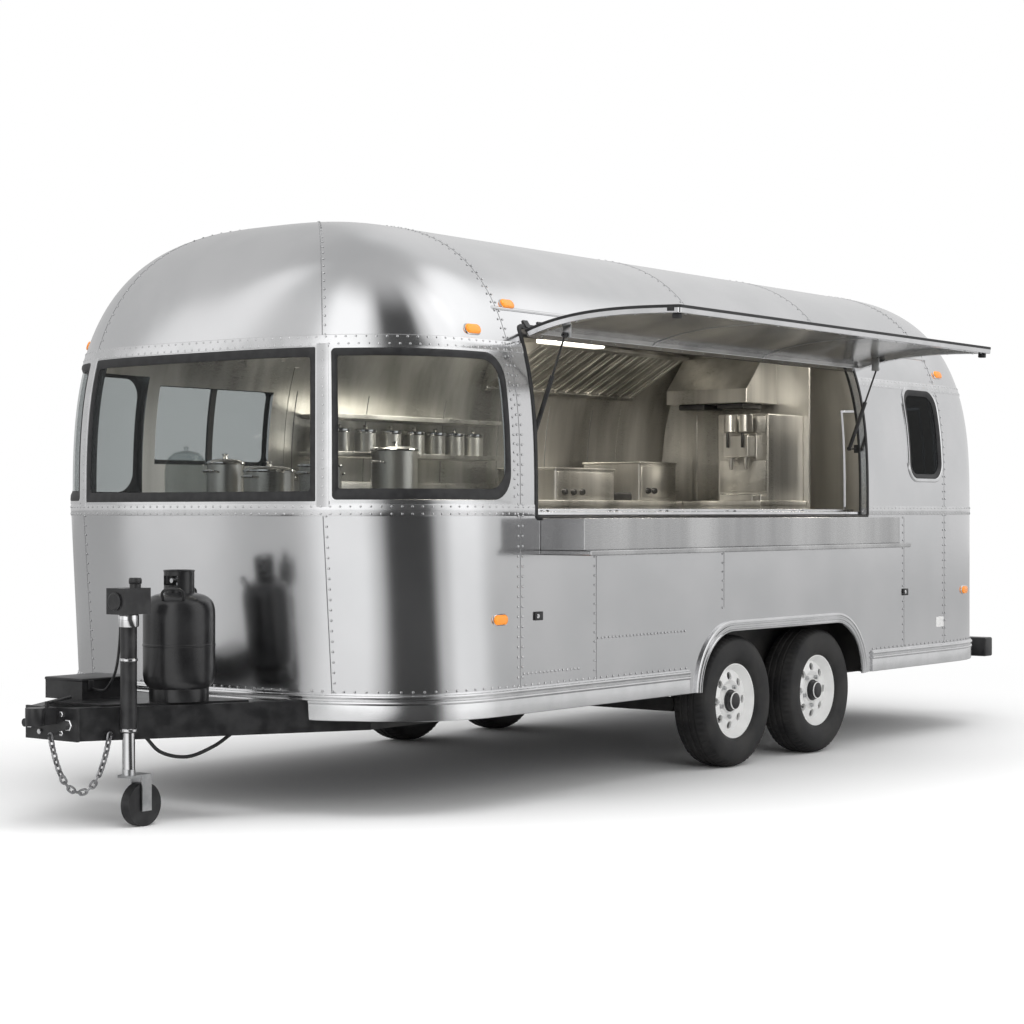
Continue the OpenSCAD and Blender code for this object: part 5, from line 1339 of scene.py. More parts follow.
@dataclass
class Wheel:
    """One wheel: a treaded tyre, and the cap, nuts and valve on its rim."""

    corner: str
    x: float
    side: float
    track_half: float = 1.092
    tyre_r: float = 0.345
    steps: int = 180

    def frame(self) -> Matrix:
        """From the wheel's own frame, its Z outwards, to its place."""
        return axes((1, 0, 0), (0, 0, -self.side), spot(self.x, self.side * self.track_half, self.tyre_r))

    def tyre(self) -> Shape:
        """The tyre: a smooth carcass whose crown is cut by three grooves and rows of sipes."""
        crown = np.linspace(-0.076, 0.076, 39)
        rise = self.tyre_r - 0.010 * np.abs(crown / 0.076) ** 4
        groove = np.min(np.abs(crown[:, None] - np.array([-0.036, 0.0, 0.036])), 1) < 0.0042
        wall = smooth_path([(0.333, 0.0815), (0.318, 0.0935), (0.296, 0.100), (0.262, 0.1022),
                            (0.232, 0.0975), (0.213, 0.090), (0.204, 0.082), (0.196, 0.074)], 3)
        r = np.concatenate([wall[::-1, 0], rise[::-1], wall[:, 0]])
        z = np.concatenate([wall[::-1, 1], crown[::-1], -wall[:, 1]])
        cut = np.concatenate([np.zeros(len(wall)), groove[::-1] * 0.0075, np.zeros(len(wall))])
        r, z, cut = (np.append(v, (0.196, 0.0, 0.0)[k]) for k, v in enumerate((r, z, cut)))
        a = np.linspace(0, 2 * np.pi, self.steps, endpoint=False)
        third = (np.arange(self.steps) % 3 == 0)[None, :]
        shoulder = ((np.abs(z) > 0.046) & (np.abs(z) < 0.086) & (r > 0.325))[:, None]
        middle = ((np.abs(z) > 0.006) & (np.abs(z) < 0.030) & (r > 0.325))[:, None]
        deep = np.maximum(cut[:, None], 0.006 * (third & shoulder) + 0.0035 * (np.roll(third, 1) & middle))
        reach = r[:, None] - deep
        points = np.stack([reach * np.cos(a), reach * np.sin(a), z[:, None] + 0 * reach], -1)
        return Shape(points.reshape(-1, 3), [grid_faces(len(r), self.steps, True, True)])

    def hub(self) -> tuple[Shape, Shape]:
        """The black cap, then the nuts and the valve."""
        cap = turned_form([(0.0505, 0.0435), (0.0505, 0.062), (0.0485, 0.072), (0.044, 0.0795),
                           (0.036, 0.0835), (0.018, 0.0848), (0.0, 0.0850)], 40)
        ring = ring_form([(0.0505, 0.0435), (0.058, 0.0445), (0.058, 0.049), (0.0505, 0.051)], 40)
        a = np.radians(np.arange(5) * 72.0 + 18.0)
        nut = turned_form([(0.0125, 0.0300), (0.0125, 0.0460), (0.0100, 0.0500), (0.004, 0.0510),
                           (0.0, 0.0510)], 6)
        nuts = [nut.moved(Matrix.Translation((0.084 * math.cos(t), 0.084 * math.sin(t), 0.0))) for t in a]
        stem = tube(smooth_path([(0.150, 0.0, 0.036), (0.153, 0.0, 0.050), (0.152, 0.0, 0.072)], 4), 0.0045,
                    8)
        return Shape.join([cap, ring]), Shape.join([*nuts, stem])

    def build(self) -> None:
        """Builds the wheel's tyre and fittings."""
        body, place = f"wheel_{self.corner}", self.frame()
        cap, nuts = self.hub()
        self.tyre().moved(place).build(f"tread_{self.corner}", [Finishes.TYRE], [f"tyre_{self.corner}"], body,
                                       38.0)
        cap.moved(place).build(f"hub_cap_{self.corner}", [Finishes.BLACK], body=body)
        nuts.moved(place).build(f"wheel_nuts_{self.corner}", [Finishes.ZINC], body=body)


@dataclass
class GasBottle:
    """The gas bottle: pressed body with a weld, foot ring, guard collar, valve and two shoulder handles."""

    place: tuple[float, float, float] = (3.530, 0.260, 0.5132)

    @staticmethod
    def vessel() -> list[Shape]:
        """The pressed body with its weld and neck, and the foot ring."""
        outline = smooth_path([(0.0, 0.040), (0.070, 0.036), (0.122, 0.050), (0.148, 0.078), (0.156, 0.112)],
                              6)
        upper = smooth_path([(0.156, 0.372), (0.1535, 0.402), (0.142, 0.432), (0.112, 0.455), (0.066, 0.467),
                             (0.030, 0.470)], 6)
        weld = np.array([(0.156, 0.236), (0.1575, 0.238), (0.1578, 0.242), (0.1575, 0.246), (0.156, 0.248)])
        neck = np.array([(0.030, 0.482), (0.022, 0.484), (0.022, 0.500), (0.0, 0.500)])
        foot = [(0.116, 0.0), (0.128, 0.0), (0.130, 0.030), (0.128, 0.062), (0.122, 0.062), (0.118, 0.030)]
        return [turned_form(np.concatenate([outline, weld, upper, neck]), 64), ring_form(foot)]

    @staticmethod
    def collar() -> list[Shape]:
        """The guard collar with two hand holes, and its rolled rim."""
        a, z = np.meshgrid(np.linspace(0, 2 * np.pi, 73), np.linspace(0.450, 0.562, 12))
        mid = np.degrees(Body.cells(a[0]))
        gap = np.abs((mid % 180.0) - 90.0) > 48.0
        tall = (np.abs(Body.cells(z[:, 0]) - 0.520) < 0.022)[:, None]
        rings = [np.stack([r * np.cos(a), r * np.sin(a), z], -1) for r in (0.066, 0.0625)]
        guard = thick_sheet(*rings, ~(tall & gap[None, :])).marked(0)
        round_once = a[0, :-1]
        rim = np.stack([0.0645 * np.cos(round_once), 0.0645 * np.sin(round_once), 0.562 + 0 * round_once], -1)
        return [guard, tube(rim, 0.004, 8, True)]

    @staticmethod
    def handles() -> list[Shape]:
        """The two shoulder handles."""
        parts = []
        for s in (-1, 1):
            loop = smooth_path([(s * 0.128, -0.045, 0.440), (s * 0.140, -0.045, 0.472),
                                (s * 0.143, -0.020, 0.488), (s * 0.143, 0.020, 0.488),
                                (s * 0.140, 0.045, 0.472), (s * 0.128, 0.045, 0.440)], 5)
            parts.append(tube(loop, 0.006, 8).moved(Matrix.Rotation(math.radians(35.0), 4, "Z")))
        return parts

    def build(self) -> None:
        """Builds the bottle on its tray."""
        Shape.join([*self.vessel(), *self.collar(), *self.handles()]).put(*self.place).build(
            "gas_bottle_body", [Finishes.BOTTLE], ["gas_bottle"])
        brass = [turned_form([(0.016, 0.498), (0.016, 0.530), (0.011, 0.534), (0.011, 0.542), (0.0, 0.542)],
                             20),
                 turned_form([(0.020, 0.541), (0.026, 0.544), (0.026, 0.556), (0.020, 0.560), (0.0, 0.560)],
                             8),
                 tube(np.array([(0.0, 0.0, 0.520), (0.03, 0.0, 0.520), (0.046, 0.0, 0.520)]), 0.010, 12)]
        Shape.join(brass).put(*self.place).build("bottle_valve", [Finishes.ZINC])


@dataclass
class Drawbar:
    """Small parts on the drawbar: jack collar and cap, coupler bolts, box lid and cables."""

    jack: tuple[float, float] = (3.850, 0.290)
    loop_length: float = 0.438
    feed_length: float = 0.592

    @staticmethod
    def cable(name: str, radius: float, length: float, lay: str, corners: Sequence[Sequence[float]]) -> None:
        """A cable that leaves the object at its first corner and goes back into it at its last."""
        path = smooth_path(corners, 7) + SHIFT
        made = tube(path, radius).build(name, [Finishes.RUBBER])

    def bright(self) -> Shape:
        """The jack's collar and rings, and the coupler's nuts and bolts."""
        x, y = self.jack
        collar = ring_form([(0.0352, 0.846), (0.041, 0.846), (0.0436, 0.852), (0.0436, 0.892),
                            (0.0415, 0.899), (0.0352, 0.899)], 48).put(x, y, 0.0)
        band = ring_form([(0.0352, 0.0), (0.0385, 0.003), (0.0385, 0.011), (0.0352, 0.014)], 40)
        rings = [band.put(x, y, z) for z in (0.404, 0.700)]
        hexes = []
        for s in (-1, 1):
            nut = turned_form([(0.0, 0.0), (0.026, 0.0), (0.026, 0.016), (0.022, 0.019), (0.0, 0.019)], 6)
            hexes.append(nut.moved(facing((1, 0, 0), spot(4.023, s * 0.123, 0.435))))
            for z in (0.398, 0.478):
                bolt = turned_form([(0.0, 0.0), (0.013, 0.0), (0.013, 0.008), (0.010, 0.010), (0.0, 0.010)],
                                   6)
                hexes.append(bolt.moved(facing((1, 0, 0), spot(4.0221, s * 0.070, z))))
        return Shape.join([collar, *rings, *hexes])

    def black(self) -> Shape:
        """The box's lid and clasps, and the jack's cap and motor cover."""
        x, y = self.jack
        lid = [block((3.486, -0.314, 0.592), (3.794, -0.066, 0.606), 0.006),
               block((3.52, -0.069, 0.555), (3.55, -0.060, 0.598), 0.002),
               block((3.73, -0.069, 0.555), (3.76, -0.060, 0.598), 0.002)]
        cap = turned_form([(0.0255, 1.026), (0.0275, 1.030), (0.0275, 1.046), (0.024, 1.052), (0.0, 1.053)],
                          24)
        lid.append(cap.put(x - 0.0375, y, 0.0))
        disc = turned_form([(0.0, 0.0), (0.038, 0.0), (0.038, 0.008), (0.032, 0.012), (0.0, 0.012)], 28)
        lid.append(disc.moved(facing((1, 0, 0), spot(x + 0.0745, y, 0.955))))
        return Shape.join(lid)

    def build(self) -> None:
        """Builds the bright, the black and the rubber pieces."""
        self.bright().build("drawbar_bright", [Finishes.CHROME])
        self.black().build("drawbar_black", [Finishes.BLACK])
        self.cable("drawbar_cable", 0.008, self.loop_length, "hanging", [
            (3.40, 0.452, 0.372), (3.47, 0.410, 0.318), (3.57, 0.352, 0.278), (3.67, 0.296, 0.302),
            (3.73, 0.262, 0.372)])
        self.cable("jack_feed", 0.006, self.feed_length, "loose", [
            (3.740, -0.068, 0.565), (3.755, -0.005, 0.558), (3.800, 0.100, 0.575), (3.835, 0.195, 0.660),
            (3.846, 0.232, 0.800), (3.848, 0.237, 0.930)])


@dataclass
class Lamps:
    """Domed amber marker lamps on bright bases, and round tail lamps."""

    length: float = 0.105
    height: float = 0.054

    @staticmethod
    def dome(length: float, height: float, out: float, base: float) -> Shape:
        """A domed lens: rings of one stadium outline, drawn in towards the top."""
        a = np.linspace(0, 2 * np.pi, 40, endpoint=False)
        straight = (length - height) / 2
        outline = np.stack([np.cos(a) * height / 2 + np.sign(np.cos(a)) * straight, np.sin(a) * height / 2],
                           -1)
        shrink = np.array([1.0, 1.0, 0.985, 0.93, 0.80, 0.58, 0.30, 0.02])
        up = np.array([0.0, 0.35, 0.5, 0.68, 0.84, 0.94, 0.99, 1.0]) * (out - base) + base
        levels = 0 * outline[None, :, :1] + up[:, None, None]
        points = np.concatenate([outline[None] * shrink[:, None, None], levels], -1)
        n = len(a)
        caps = [np.arange(n)[None, ::-1], (np.arange(n) + (len(up) - 1) * n)[None, :]]
        return Shape(points.reshape(-1, 3), [grid_faces(len(up), n, False, True), *caps])

    def seats(self) -> list[Matrix]:
        """Where the marker lamps sit on the skin."""
        first, second = FORM.rise(np.linspace(FORM.share_of(FORM.wall_top_z), 1.0, 10))[:2]
        roof_z = float(first + 0.27 * (second - first))
        places = [(LEFT, 2.252, roof_z), (RIGHT, 2.252, roof_z)]
        places += [(FRONT, FORM.run(d), 2.143) for d in (-53.5, 76.17)]
        places += [(FRONT, FORM.run(d), 0.850) for d in (-81.83, 81.83)]
        places += [(REAR, FORM.run(d), 2.1655) for d in (-81.83, 84.11)]
        places += [(REAR, FORM.run(d), 0.8525) for d in (-70.5, 72.33)]
        return [seat(*p) for p in places]

    def build(self) -> None:
        """Builds every lamp."""
        lens = self.dome(self.length * 0.9, self.height * 0.84, 0.0165, 0.003)
        base = self.dome(self.length, self.height, 0.007, -0.004)
        Shape.join([lens.moved(m) for m in self.seats()]).build(
            "marker_lenses", [Finishes.AMBER], ["marker_lamps"])
        Shape.join([base.moved(m) for m in self.seats()]).build("marker_bases", [Finishes.CHROME])
        tails = [seat(REAR, FORM.run(d), 0.900) for d in (-42.17, 42.89)]
        lens = turned_form([(0.0, 0.0), (0.052, 0.0), (0.052, 0.016), (0.045, 0.022), (0.026, 0.0255),
                            (0.0, 0.0265)], 40)
        ring = ring_form([(0.050, -0.006), (0.060, -0.006), (0.060, 0.006), (0.056, 0.014), (0.050, 0.016)],
                         40)
        Shape.join([lens.moved(m) for m in tails]).build("tail_lenses", [Finishes.RED], ["tail_lamps"])
        Shape.join([ring.moved(m) for m in tails]).build("tail_rings", [Finishes.CHROME])


@dataclass
class Galley:
    """Fittings inside: louvred filters, hood rims, worktop slabs, doors, knobs, lids and the strip lamp."""

    back: float = -0.5797
    top: float = 1.400
    unit_front: float = -0.600
    pots: tuple[tuple[float, float, float, float], ...] = (
        (0.93, -0.74, 0.13, 0.28), (2.65, 0.28, 0.10, 0.15), (2.64, -0.06, 0.12, 0.13),
        (2.64, -0.35, 0.09, 0.17))
    canisters: tuple[float, ...] = (-0.12, 0.06, 0.24, 0.43, 0.64, 0.86, 1.08)
    taps: tuple[float, float] = (-0.245, -0.135)

    def filters(self) -> tuple[Shape, Shape]:
        """The sloped filter panel: dark channels between bright bars, in a bright border."""
        slope = axes((1, 0, 0), (0, -0.8682, -0.4961), spot(-1.89, -0.62, 2.35))
        dark = soft_box((0.03, 0.03, -0.004), (1.56, 0.50, 0.004), 0.001)
        bars = [soft_box((x, 0.024, -0.002), (x + 0.030, 0.520, 0.013), 0.003)
                for x in 0.02 + 0.122 * np.arange(13)]
        bars += [soft_box((x + 0.008, 0.05, 0.0), (x + 0.012, 0.49, 0.0075), 0.001)
                 for x in 0.075 + 0.122 * np.arange(12)]
        rims = [soft_box((0.0, 0.0, -0.004), (1.59, 0.034, 0.018), 0.004),
                soft_box((0.0, 0.500, -0.004), (1.59, 0.536, 0.018), 0.004)]
        return dark.moved(slope), Shape.join([*bars, *rims]).moved(slope)

    def tops(self) -> Shape:
        """Worktop slabs with a rolled front edge and an upstand at the wall."""
        t, b = self.top, self.back
        return Shape.join([
            block((-1.898, -1.175, t - 0.034), (1.352, b + 0.016, t + 0.003), 0.006),
            block((-2.308, b + 0.017, t - 0.034), (-1.732, 0.024, t + 0.003), 0.006),
            block((2.262, -0.782, t - 0.034), (2.842, 0.394, t + 0.003), 0.006),
            block((-1.898, -1.178, t + 0.003), (1.352, -1.163, t + 0.105), 0.003),
        ])

    def doors(self) -> tuple[Shape, Shape]:
        """Cupboard doors along the aisle, and their handles."""
        b, doors, grips = self.back, [], []
        for x in np.linspace(-1.86, 0.69, 5):
            doors.append(block((x, b - 0.002, 0.66), (x + 0.60, b + 0.010, 1.345), 0.004))
            path = smooth_path([(x + 0.08, b + 0.008, 1.27), (x + 0.082, b + 0.030, 1.27),
                                (x + 0.30, b + 0.034, 1.27), (x + 0.518, b + 0.030, 1.27),
                                (x + 0.52, b + 0.008, 1.27)], 5) + SHIFT
            grips.append(tube(path, 0.006, 8))
        for y in (-0.76, -0.19):
            doors.append(block((2.270, y, 0.66), (2.282, y + 0.54, 1.345), 0.004))
        return Shape.join(doors), Shape.join(grips)

    def lids(self) -> Shape:
        """Lids, rims and handles of the pots, and lids of the canisters."""
        parts = []
        for x, y, r, h in self.pots:
            lid = [(r + 0.004, h - 0.012), (r + 0.006, h - 0.006), (r + 0.004, h), (r * 0.85, h + 0.010),
                   (r * 0.4, h + 0.017), (0.016, h + 0.018), (0.010, h + 0.028), (0.017, h + 0.040),
                   (0.0, h + 0.043)]
            parts.append(turned_form(lid, 40).put(x, y, self.top))
            for s in (-1, 1):
                path = smooth_path([(s * (r - 0.004), -0.04, h * 0.72), (s * (r + 0.026), -0.034, h * 0.74),
                                    (s * (r + 0.030), 0.0, h * 0.75), (s * (r + 0.026), 0.034, h * 0.74),
                                    (s * (r - 0.004), 0.04, h * 0.72)], 5)
                parts.append(tube(path, 0.006, 8).put(x, y, self.top))
        lid = turned_form([(0.0645, 0.112), (0.066, 0.116), (0.066, 0.130), (0.058, 0.136), (0.014, 0.139),
                           (0.010, 0.147), (0.014, 0.156), (0.0, 0.158)], 28)
        return Shape.join([*parts, *(lid.put(x, -1.02, 1.665) for x in self.canisters)])

    def units(self) -> tuple[Shape, Shape]:
        """Edges, panels and tubes of the counter-top machines, then their dark knobs and grilles."""
        f = self.unit_front
        bright = [block((-1.715, -1.045, 1.636), (-1.285, f + 0.006, 1.650), 0.004),
                  block((-1.016, -1.045, 1.586), (-0.384, f + 0.006, 1.600), 0.004),
                  block((-1.69, f - 0.001, 1.425), (-1.31, f + 0.005, 1.622), 0.003),
                  block((-0.99, f - 0.001, 1.425), (-0.41, f + 0.005, 1.575), 0.003),
                  block((-1.872, -0.362, 1.46), (-1.864, -0.018, 1.66), 0.003),
                  block((-1.872, -0.362, 1.84), (-1.864, -0.018, 1.945), 0.003)]
        head = turned_form([(0.040, 1.84), (0.046, 1.845), (0.046, 1.950), (0.042, 1.956), (0.0, 1.956)], 28)
        nozzle = turned_form([(0.0, 1.600), (0.011, 1.602), (0.016, 1.640), (0.018, 1.684), (0.0, 1.684)], 20)
        bright += [form.put(-1.815, y, 0.0) for y in self.taps for form in (head, nozzle)]
        knob = turned_form([(0.020, 0.0), (0.019, 0.012), (0.016, 0.022), (0.013, 0.024), (0.0, 0.024)], 20)
        knobs_at = ((-1.37, 1.465), (-1.44, 1.465), (-0.47, 1.452), (-0.56, 1.452), (-0.65, 1.452))
        dark = [knob.moved(facing((0, 1, 0), spot(x, f + 0.004, z))) for x, z in knobs_at]
        dark += [block((-1.776, y - 0.008, 1.742), (-1.762, y + 0.008, 1.838), 0.005) for y in self.taps]
        dark += [block((-2.22, y, 2.004), (-1.985, y + 0.20, 2.041), 0.008) for y in (-0.76, -0.46)]
        dark += [block((-1.862, y, 1.439), (-1.786, y + 0.004, 1.443), 0.001)
                 for y in np.linspace(-0.30, -0.08, 14)]
        dark.append(block((-1.30, -0.98, 1.403), (-1.06, -0.66, 1.455), 0.012))
        return Shape.join(bright), Shape.join(dark)

    def walls(self) -> tuple[Shape, Shape]:
        """Joints of the lining behind the worktop, and the bright strips that cover the corners."""
        seam = np.array([(-0.003, 0.0395), (-0.003, 0.0412), (0.003, 0.0412), (0.003, 0.0395)])
        cover = np.array([(-0.020, 0.0395), (-0.020, 0.0425), (0.020, 0.0425), (0.020, 0.0395)])
        joints = [RIGHT.bar(upright(x, 1.50, 2.02, 24), seam) for x in (-1.52, -1.05, -0.55, 0.0, 0.7, 1.3)]
        covers = [RIGHT.bar(upright(x, 1.42, 2.15, 30), cover) for x in (-1.86, 1.345)]
        covers.append(block((-2.31, -0.86, 1.405), (-2.302, -0.82, 2.35), 0.002))
        covers.append(block((-2.3105, -0.62, 1.42), (-2.304, -0.60, 2.04), 0.002))
        return Shape.join(joints), Shape.join(covers)

    def jar(self) -> tuple[Shape, Shape]:
        """A glass dome with a knob, on a steel plate."""
        outer = smooth_path([(0.104, 0.014), (0.104, 0.130), (0.094, 0.180), (0.066, 0.214), (0.020, 0.228)],
                            5)
        knob = np.array([(0.010, 0.229), (0.008, 0.234), (0.014, 0.240), (0.014, 0.246), (0.0, 0.250)])
        inner = outer[::-1] - [0.004, 0.004]
        dome = turned_form(np.concatenate([[(0.0, 0.224)], inner, outer, knob]), 44)
        plate = turned_form([(0.0, 0.0), (0.112, 0.0), (0.120, 0.006), (0.120, 0.010), (0.108, 0.013),
                             (0.0, 0.013)], 44)
        here = (2.64, -0.62, self.top + 0.003)
        return dome.put(*here), plate.put(*here)

    def build(self) -> None:
        """Builds everything inside."""
        dark, bars = self.filters()
        doors, grips = self.doors()
        bright, black = self.units()
        joints, covers = self.walls()
        dome, plate = self.jar()
        dark.build("filter_channels", [Finishes.DARK_STEEL])
        Shape.join([bars, self.tops(), doors, bright, covers]).build("galley_steel", [Finishes.STEEL])
        Shape.join([self.lids(), grips, plate]).build("galley_bright", [Finishes.CHROME])
        black.build("galley_black", [Finishes.BLACK])
        joints.build("lining_joints", [Finishes.SEAM])
        dome.build("glass_dome", [Finishes.JAR], ["glass_jar"])
        block((-0.82, -0.622, 2.334), (-0.22, -0.536, 2.362), 0.010).build("strip_lamp", [Finishes.TUBE])
        cover = [block((-0.84, -0.628, 2.360), (-0.20, -0.530, 2.376), 0.006),
                 block((-0.47, -0.078, 2.6575), (0.72, 0.078, 2.6605), 0.001)]
        Shape.join(cover).build("lamp_backs", [Finishes.WHITE])


@dataclass
class Fixings:
    """Small parts on the outside: latches, a blank plate and the bumper's end caps."""

    def build(self) -> None:
        """Builds the small parts."""
        black, bright, white = [], [], []
        for x, z in ((2.214, 0.857), (-1.371, 0.862)):
            black.append(block((x - 0.030, 1.2195, z - 0.020), (x + 0.030, 1.229, z + 0.020), 0.004))
            disc = turned_form([(0.011, 0.0), (0.011, 0.003), (0.008, 0.005), (0.0, 0.005)], 18)
            bright.append(disc.moved(facing((0, 1, 0), spot(x + 0.012, 1.2288, z))))
        white.append(block((-1.872, 1.2195, 0.640), (-1.772, 1.2225, 0.700), 0.001))
        for s in (-1, 1):
            black.append(block((-2.932, s * 1.036 - 0.006, 0.404), (-2.834, s * 1.036 + 0.006, 0.516), 0.005))
        Shape.join(black).build("body_latches", [Finishes.BLACK])
        Shape.join(bright).build("latch_locks", [Finishes.CHROME])
        Shape.join(white).build("blank_plate", [Finishes.WHITE])


@dataclass(frozen=True)
class Lamp:
    """A soft square lamp that the camera doesn't see, and polished metal only where it is mirrored."""

    name: str
    place: tuple[float, float, float]
    aim: tuple[float, float, float]
    size: float
    power: float
    colour: Colour = (1.0, 1.0, 1.0)
    mirrored: bool = False

    def build(self) -> None:
        """Hangs the lamp at its place, turned to its aim."""
        data = bpy.data.lights.new(self.name, "AREA")
        data.size, data.energy, data.color = self.size, self.power, self.colour
        made = bpy.data.objects.new(self.name, data)
        bpy.context.scene.collection.objects.link(made)
        made.location = self.place
        made.rotation_mode = "QUATERNION"
        made.rotation_quaternion = (Vector(self.aim) - Vector(self.place)).to_track_quat("-Z", "Y")
        made.visible_camera, made.visible_glossy = False, self.mirrored


WARM = (1.0, 0.94, 0.83)


@dataclass
class Studio:
    """Plain soft studio: pale floor, white surround, soft lamps and the camera.

    Polished metal sees cards stood round the horizon, each given by its middle, half width and soft edge in
    degrees and by the brightness that it adds to the plain wall. The glow is one bright patch higher up,
    given by its azimuth, the sine of its height and the angles over which it fades.
    """

    wall: float = 0.74
    cards: tuple[tuple[float, float, float, float], ...] = (
        (-98.0, 34.0, 14.0, -0.17), (-50.0, 5.0, 6.0, 0.22), (-27.0, 7.0, 7.0, -0.09),
        (10.0, 12.0, 14.0, 0.53), (63.0, 17.0, 13.0, -0.67), (115.0, 8.0, 14.0, 0.46))
    ceiling: float = 0.52
    ceiling_rise: tuple[float, float] = (0.74, 0.98)
    glow: tuple[float, float, float, float] = (149.0, 0.66, 4.0, 24.0)
    glow_gain: float = 0.55
    ambient: float = 0.78
    # Brightness of the painted shade on the floor next to the trailer, as polished metal sees it.
    floor_centre: float = 2.2
    floor_near_shade: float = 0.6
    floor_fade: tuple[float, float] = (3.0, 13.0)
    shadow_fade: tuple[float, float] = (2.2, 6.5)
    shadow_shape: tuple[float, float, float] = (0.75, 1.0, 1.0)
    lamps: tuple[Lamp, ...] = (
        Lamp("overhead", (1.0, 1.5, 8.5), (0.0, 0.0, 1.0), 7.0, 420.0),
        Lamp("fill", (6.0, 9.0, 4.0), (0.0, 0.5, 1.2), 5.0, 220.0),
        Lamp("cabin", (-0.8, -0.3, 2.38), (-0.8, -0.9, 1.4), 1.1, 40.0, WARM, True),
        Lamp("cabin_front", (1.5, -0.3, 2.50), (1.5, -0.5, 1.0), 0.9, 11.0, WARM, True),
        Lamp("cabin_rear", (-3.0, 0.05, 2.30), (-3.0, 0.0, 1.0), 0.5, 9.0, WARM, True),
    )
    eye: tuple[float, float, float] = (9.52, 6.774, 1.33)
    ahead: tuple[float, float, float] = (-0.793, -0.609, 0.0)
    lens: float = 76.4
    floor_half: float = 60.0

    def camera(self) -> None:
        """The camera at the photograph's angle."""
        data = bpy.data.cameras.new("camera")
        data.sensor_width, data.lens = 36.0, self.lens
        data.clip_end = 300.0
        made = bpy.data.objects.new("camera", data)
        bpy.context.scene.collection.objects.link(made)
        made.location = self.eye
        made.rotation_mode = "QUATERNION"
        made.rotation_quaternion = Vector(self.ahead).to_track_quat("-Z", "Y")
        bpy.context.scene.camera = made

    def tone(self, tree: Tree, x: Socket, y: Socket) -> Socket:
        """The brightness of the surround towards a direction along the ground."""
        turn = tree.add("ShaderNodeMath", {"operation": "ARCTAN2"}, {0: y, 1: x})
        total = self.wall
        for middle, half, soft, gain in self.cards:
            away = tree.add("ShaderNodeMath", {"operation": "ABSOLUTE"}, {0: turn - math.radians(middle)})
            total = total + gain * (1.0 - away.between(math.radians(half), math.radians(half + soft)))
        return total

    def floor(self) -> None:
        """A wide pale floor that keeps the shadow; polished metal sees it with the studio's card bands
        painted into its colour and with painted shade near the trailer.
        """
        h = self.floor_half
        mesh = bpy.data.meshes.new("floor")
        mesh.from_pydata([(-h, -h, 0), (h, -h, 0), (h, h, 0), (-h, h, 0)], [], [(0, 1, 2, 3)])
        made = bpy.data.objects.new("floor_sheet", mesh)
        bpy.context.scene.collection.objects.link(made)
        paint = bpy.data.materials.new("floor_paint")
        tree = Tree(paint)
        seen = tree.add("ShaderNodeLightPath", out="Is Camera Ray")
        mirrored = tree.add("ShaderNodeLightPath", out="Is Glossy Ray")
        x, y = (tree.add("ShaderNodeSeparateXYZ", {}, {0: tree.place()}, k) for k in range(2))
        reach = tree.add("ShaderNodeVectorMath", {"operation": "LENGTH"}, {0: tree.place()}, "Value")
        # Painted shade and painted reflection: as polished metal sees it, the floor is darker near the
        # trailer, clearing between the two fade radii, and carries the studio's card bands.
        painted_near_shade = self.floor_near_shade + (1.0 - self.floor_near_shade) * reach.between(*self.floor_fade)
        tone = self.tone(tree, x - self.floor_centre, y) * painted_near_shade
        # Camera rays see the floor a little lighter; glossy rays see the painted bands and the painted shade.
        colour = (0.9 + 0.1 * seen) * (1.0 - mirrored * (1.0 - tone))
        shade = tree.add("ShaderNodeBsdfDiffuse", {}, {"Color": colour})
        white = tree.add("ShaderNodeEmission", {}, {"Color": (1.0, 1.0, 1.0, 1.0), "Strength": 1.0})
        away = tree.add("ShaderNodeVectorMath", {"operation": "LENGTH"}, {0: tree.place(self.shadow_shape)},
                        "Value")
        far = seen * away.between(*self.shadow_fade)
        tree.close(tree.add("ShaderNodeMixShader", {}, {0: far, 1: shade, 2: white}))
        mesh.materials.append(paint)

    def world(self) -> None:
        """A white surround; polished metal sees it with the softer bands of a studio's walls."""
        world = bpy.data.worlds.new("studio")
        bpy.context.scene.world = world
        tree = Tree(world)
        toward = tree.add("ShaderNodeTexCoord", out="Generated")
        parts = [tree.add("ShaderNodeSeparateXYZ", {}, {0: toward}, k) for k in range(3)]

        def lobe(azimuth: float, rise: float, inner: float, outer: float) -> Socket:
            """1 round a direction, falling to 0 over a soft edge; the angles are in degrees."""
            flat = math.sqrt(1.0 - rise * rise)
            aim = (flat * math.cos(math.radians(azimuth)), flat * math.sin(math.radians(azimuth)), rise)
            near = tree.add("ShaderNodeVectorMath", {"operation": "DOT_PRODUCT"}, {0: toward, 1: aim},
                            "Value")
            return near.between(math.cos(math.radians(outer)), math.cos(math.radians(inner)))

        top = parts[2].between(*self.ceiling_rise)
        glossy = self.tone(tree, parts[0], parts[1]) * (1.0 - top) + self.ceiling * top
        glossy = glossy + self.glow_gain * lobe(*self.glow)
        path = [tree.add("ShaderNodeLightPath", out=o) for o in ("Is Camera Ray", "Is Transmission Ray",
                                                                 "Is Glossy Ray")]
        seen = tree.add("ShaderNodeMath", {"operation": "MAXIMUM"}, {0: path[0], 1: path[1]})
        lit = self.ambient * (1.0 - path[2]) + glossy * path[2]
        strength = lit * (1.0 - seen) + seen
        tree.close(tree.add("ShaderNodeBackground", {},
                            {"Color": (1.0, 1.0, 1.0, 1.0), "Strength": strength}),
                   "ShaderNodeOutputWorld")

    def build(self) -> None:
        """Sets up the studio."""
        self.camera()
        self.floor()
        self.world()
        for lamp in self.lamps:
            lamp.build()
        bpy.context.scene.view_settings.view_transform = "Standard"


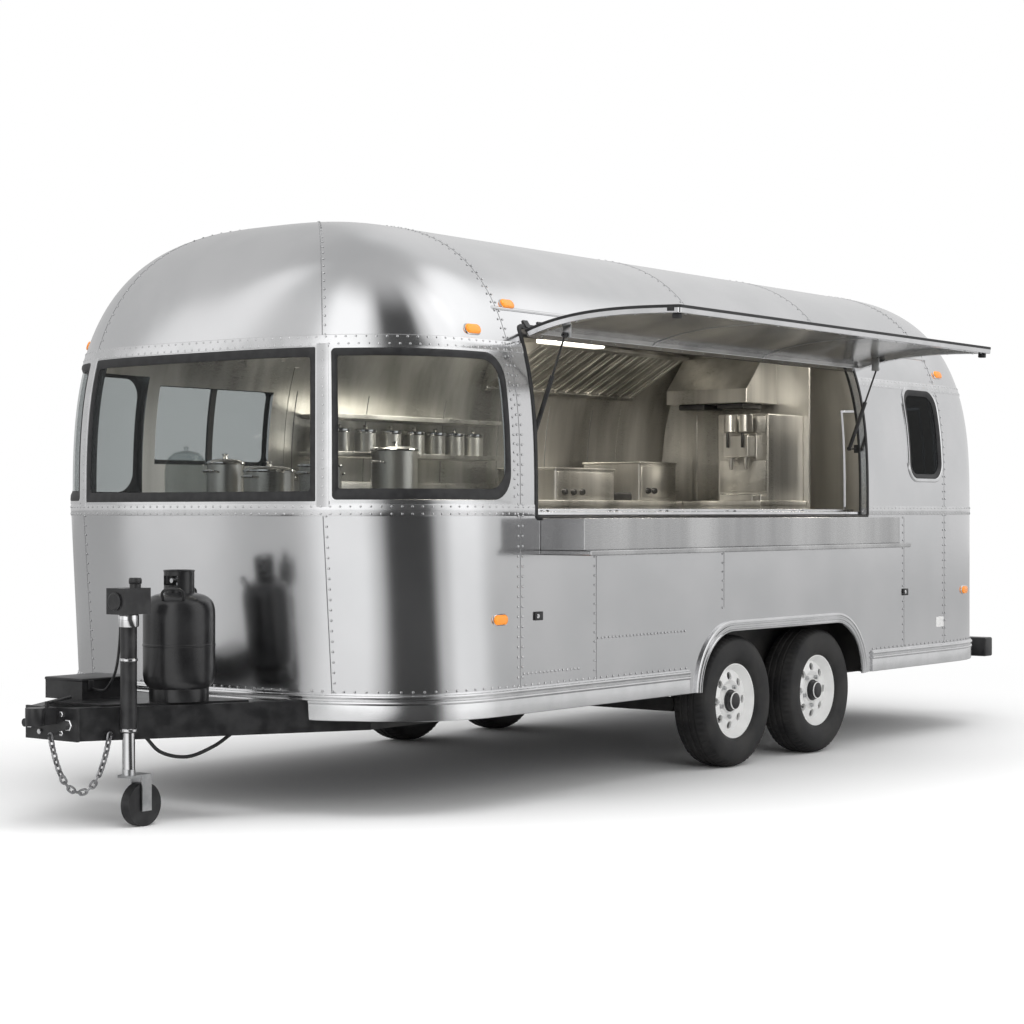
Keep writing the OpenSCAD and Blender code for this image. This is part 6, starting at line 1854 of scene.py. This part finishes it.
@dataclass
class CarriedSolids:
    """Finishes of the solids that show as they are."""

    finishes: dict[Finishes, tuple[str, ...]] = field(default_factory=lambda: {
        Finishes.COUNTER: ("counter", "counter_ledge"),
        Finishes.STEEL: ("worktops", "bulkhead", "filter_hood", "canopy_hood", "ice_cream_machine",
                         "galley_units", "wall_shelves", "pots"),
        Finishes.BLACK: ("drawbar", "coupler", "bumper", "jack_tube", "jack_head", "drawbar_tray",
                         "strut_brackets", "strut_barrel_front", "strut_barrel_rear", "strut_rod_front",
                         "strut_rod_rear", "hatch_hinge", "caster_wheel"),
        Finishes.UNDERSIDE: ("chassis", "axle_front", "axle_rear", "wheel_wells"),
        Finishes.CHROME: ("jack_leg", "door_hinges"),
        Finishes.ZINC: ("caster_fork",),
        Finishes.CHAIN: ("safety_chain",),
        Finishes.WHITE: ("rim_front_left", "rim_front_right", "rim_rear_left", "rim_rear_right"),
        Finishes.FLOORING: ("floor",),
        Finishes.TUBE: ("ceiling_lamp",),
    })
    eased: dict[str, float] = field(default_factory=lambda: {
        "counter": 0.004, "counter_ledge": 0.005, "drawbar": 0.006, "coupler": 0.003, "bumper": 0.008,
        "jack_head": 0.012, "drawbar_tray": 0.004, "worktops": 0.004, "canopy_hood": 0.004,
        "galley_units": 0.008, "ice_cream_machine": 0.008, "wall_shelves": 0.003, "caster_fork": 0.002,
        "ceiling_lamp": 0.008,
    })

    def build(self) -> None:
        """Dresses each solid, and eases the edges of the ones that are boxes."""
        for finish, names in self.finishes.items():
            for name in names:
                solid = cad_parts[name]
                solid.data.materials.clear()
                solid.data.materials.append(finish.material)
                if name in self.eased:
                    weld = solid.modifiers.new("weld", "WELD")
                    weld.merge_threshold = 1e-5
                    bevel = solid.modifiers.new("eased", "BEVEL")
                    bevel.width, bevel.segments, bevel.limit_method = self.eased[name], 2, "ANGLE"
                    bevel.angle_limit = math.radians(40)
                LOG.info("%s: %s", name, finish.name)


def main() -> None:
    """Builds the studio and then the trailer, piece by piece."""
    logging.basicConfig(level=logging.INFO, format="%(message)s")
    Studio().build()
    CarriedSolids().build()
    wheels = [Wheel(f"{end}_{hand}", x, side) for end, x in (("front", 0.430), ("rear", -0.430))
              for hand, side in (("left", 1.0), ("right", -1.0))]
    for part in (Body(), Trims(), Glazing(), Hatch(), Opening(), EntryDoor(), *wheels, GasBottle(), Drawbar(),
                 Lamps(), Galley(), Fixings()):
        part.build()


if __name__ == "__main__":
    main()
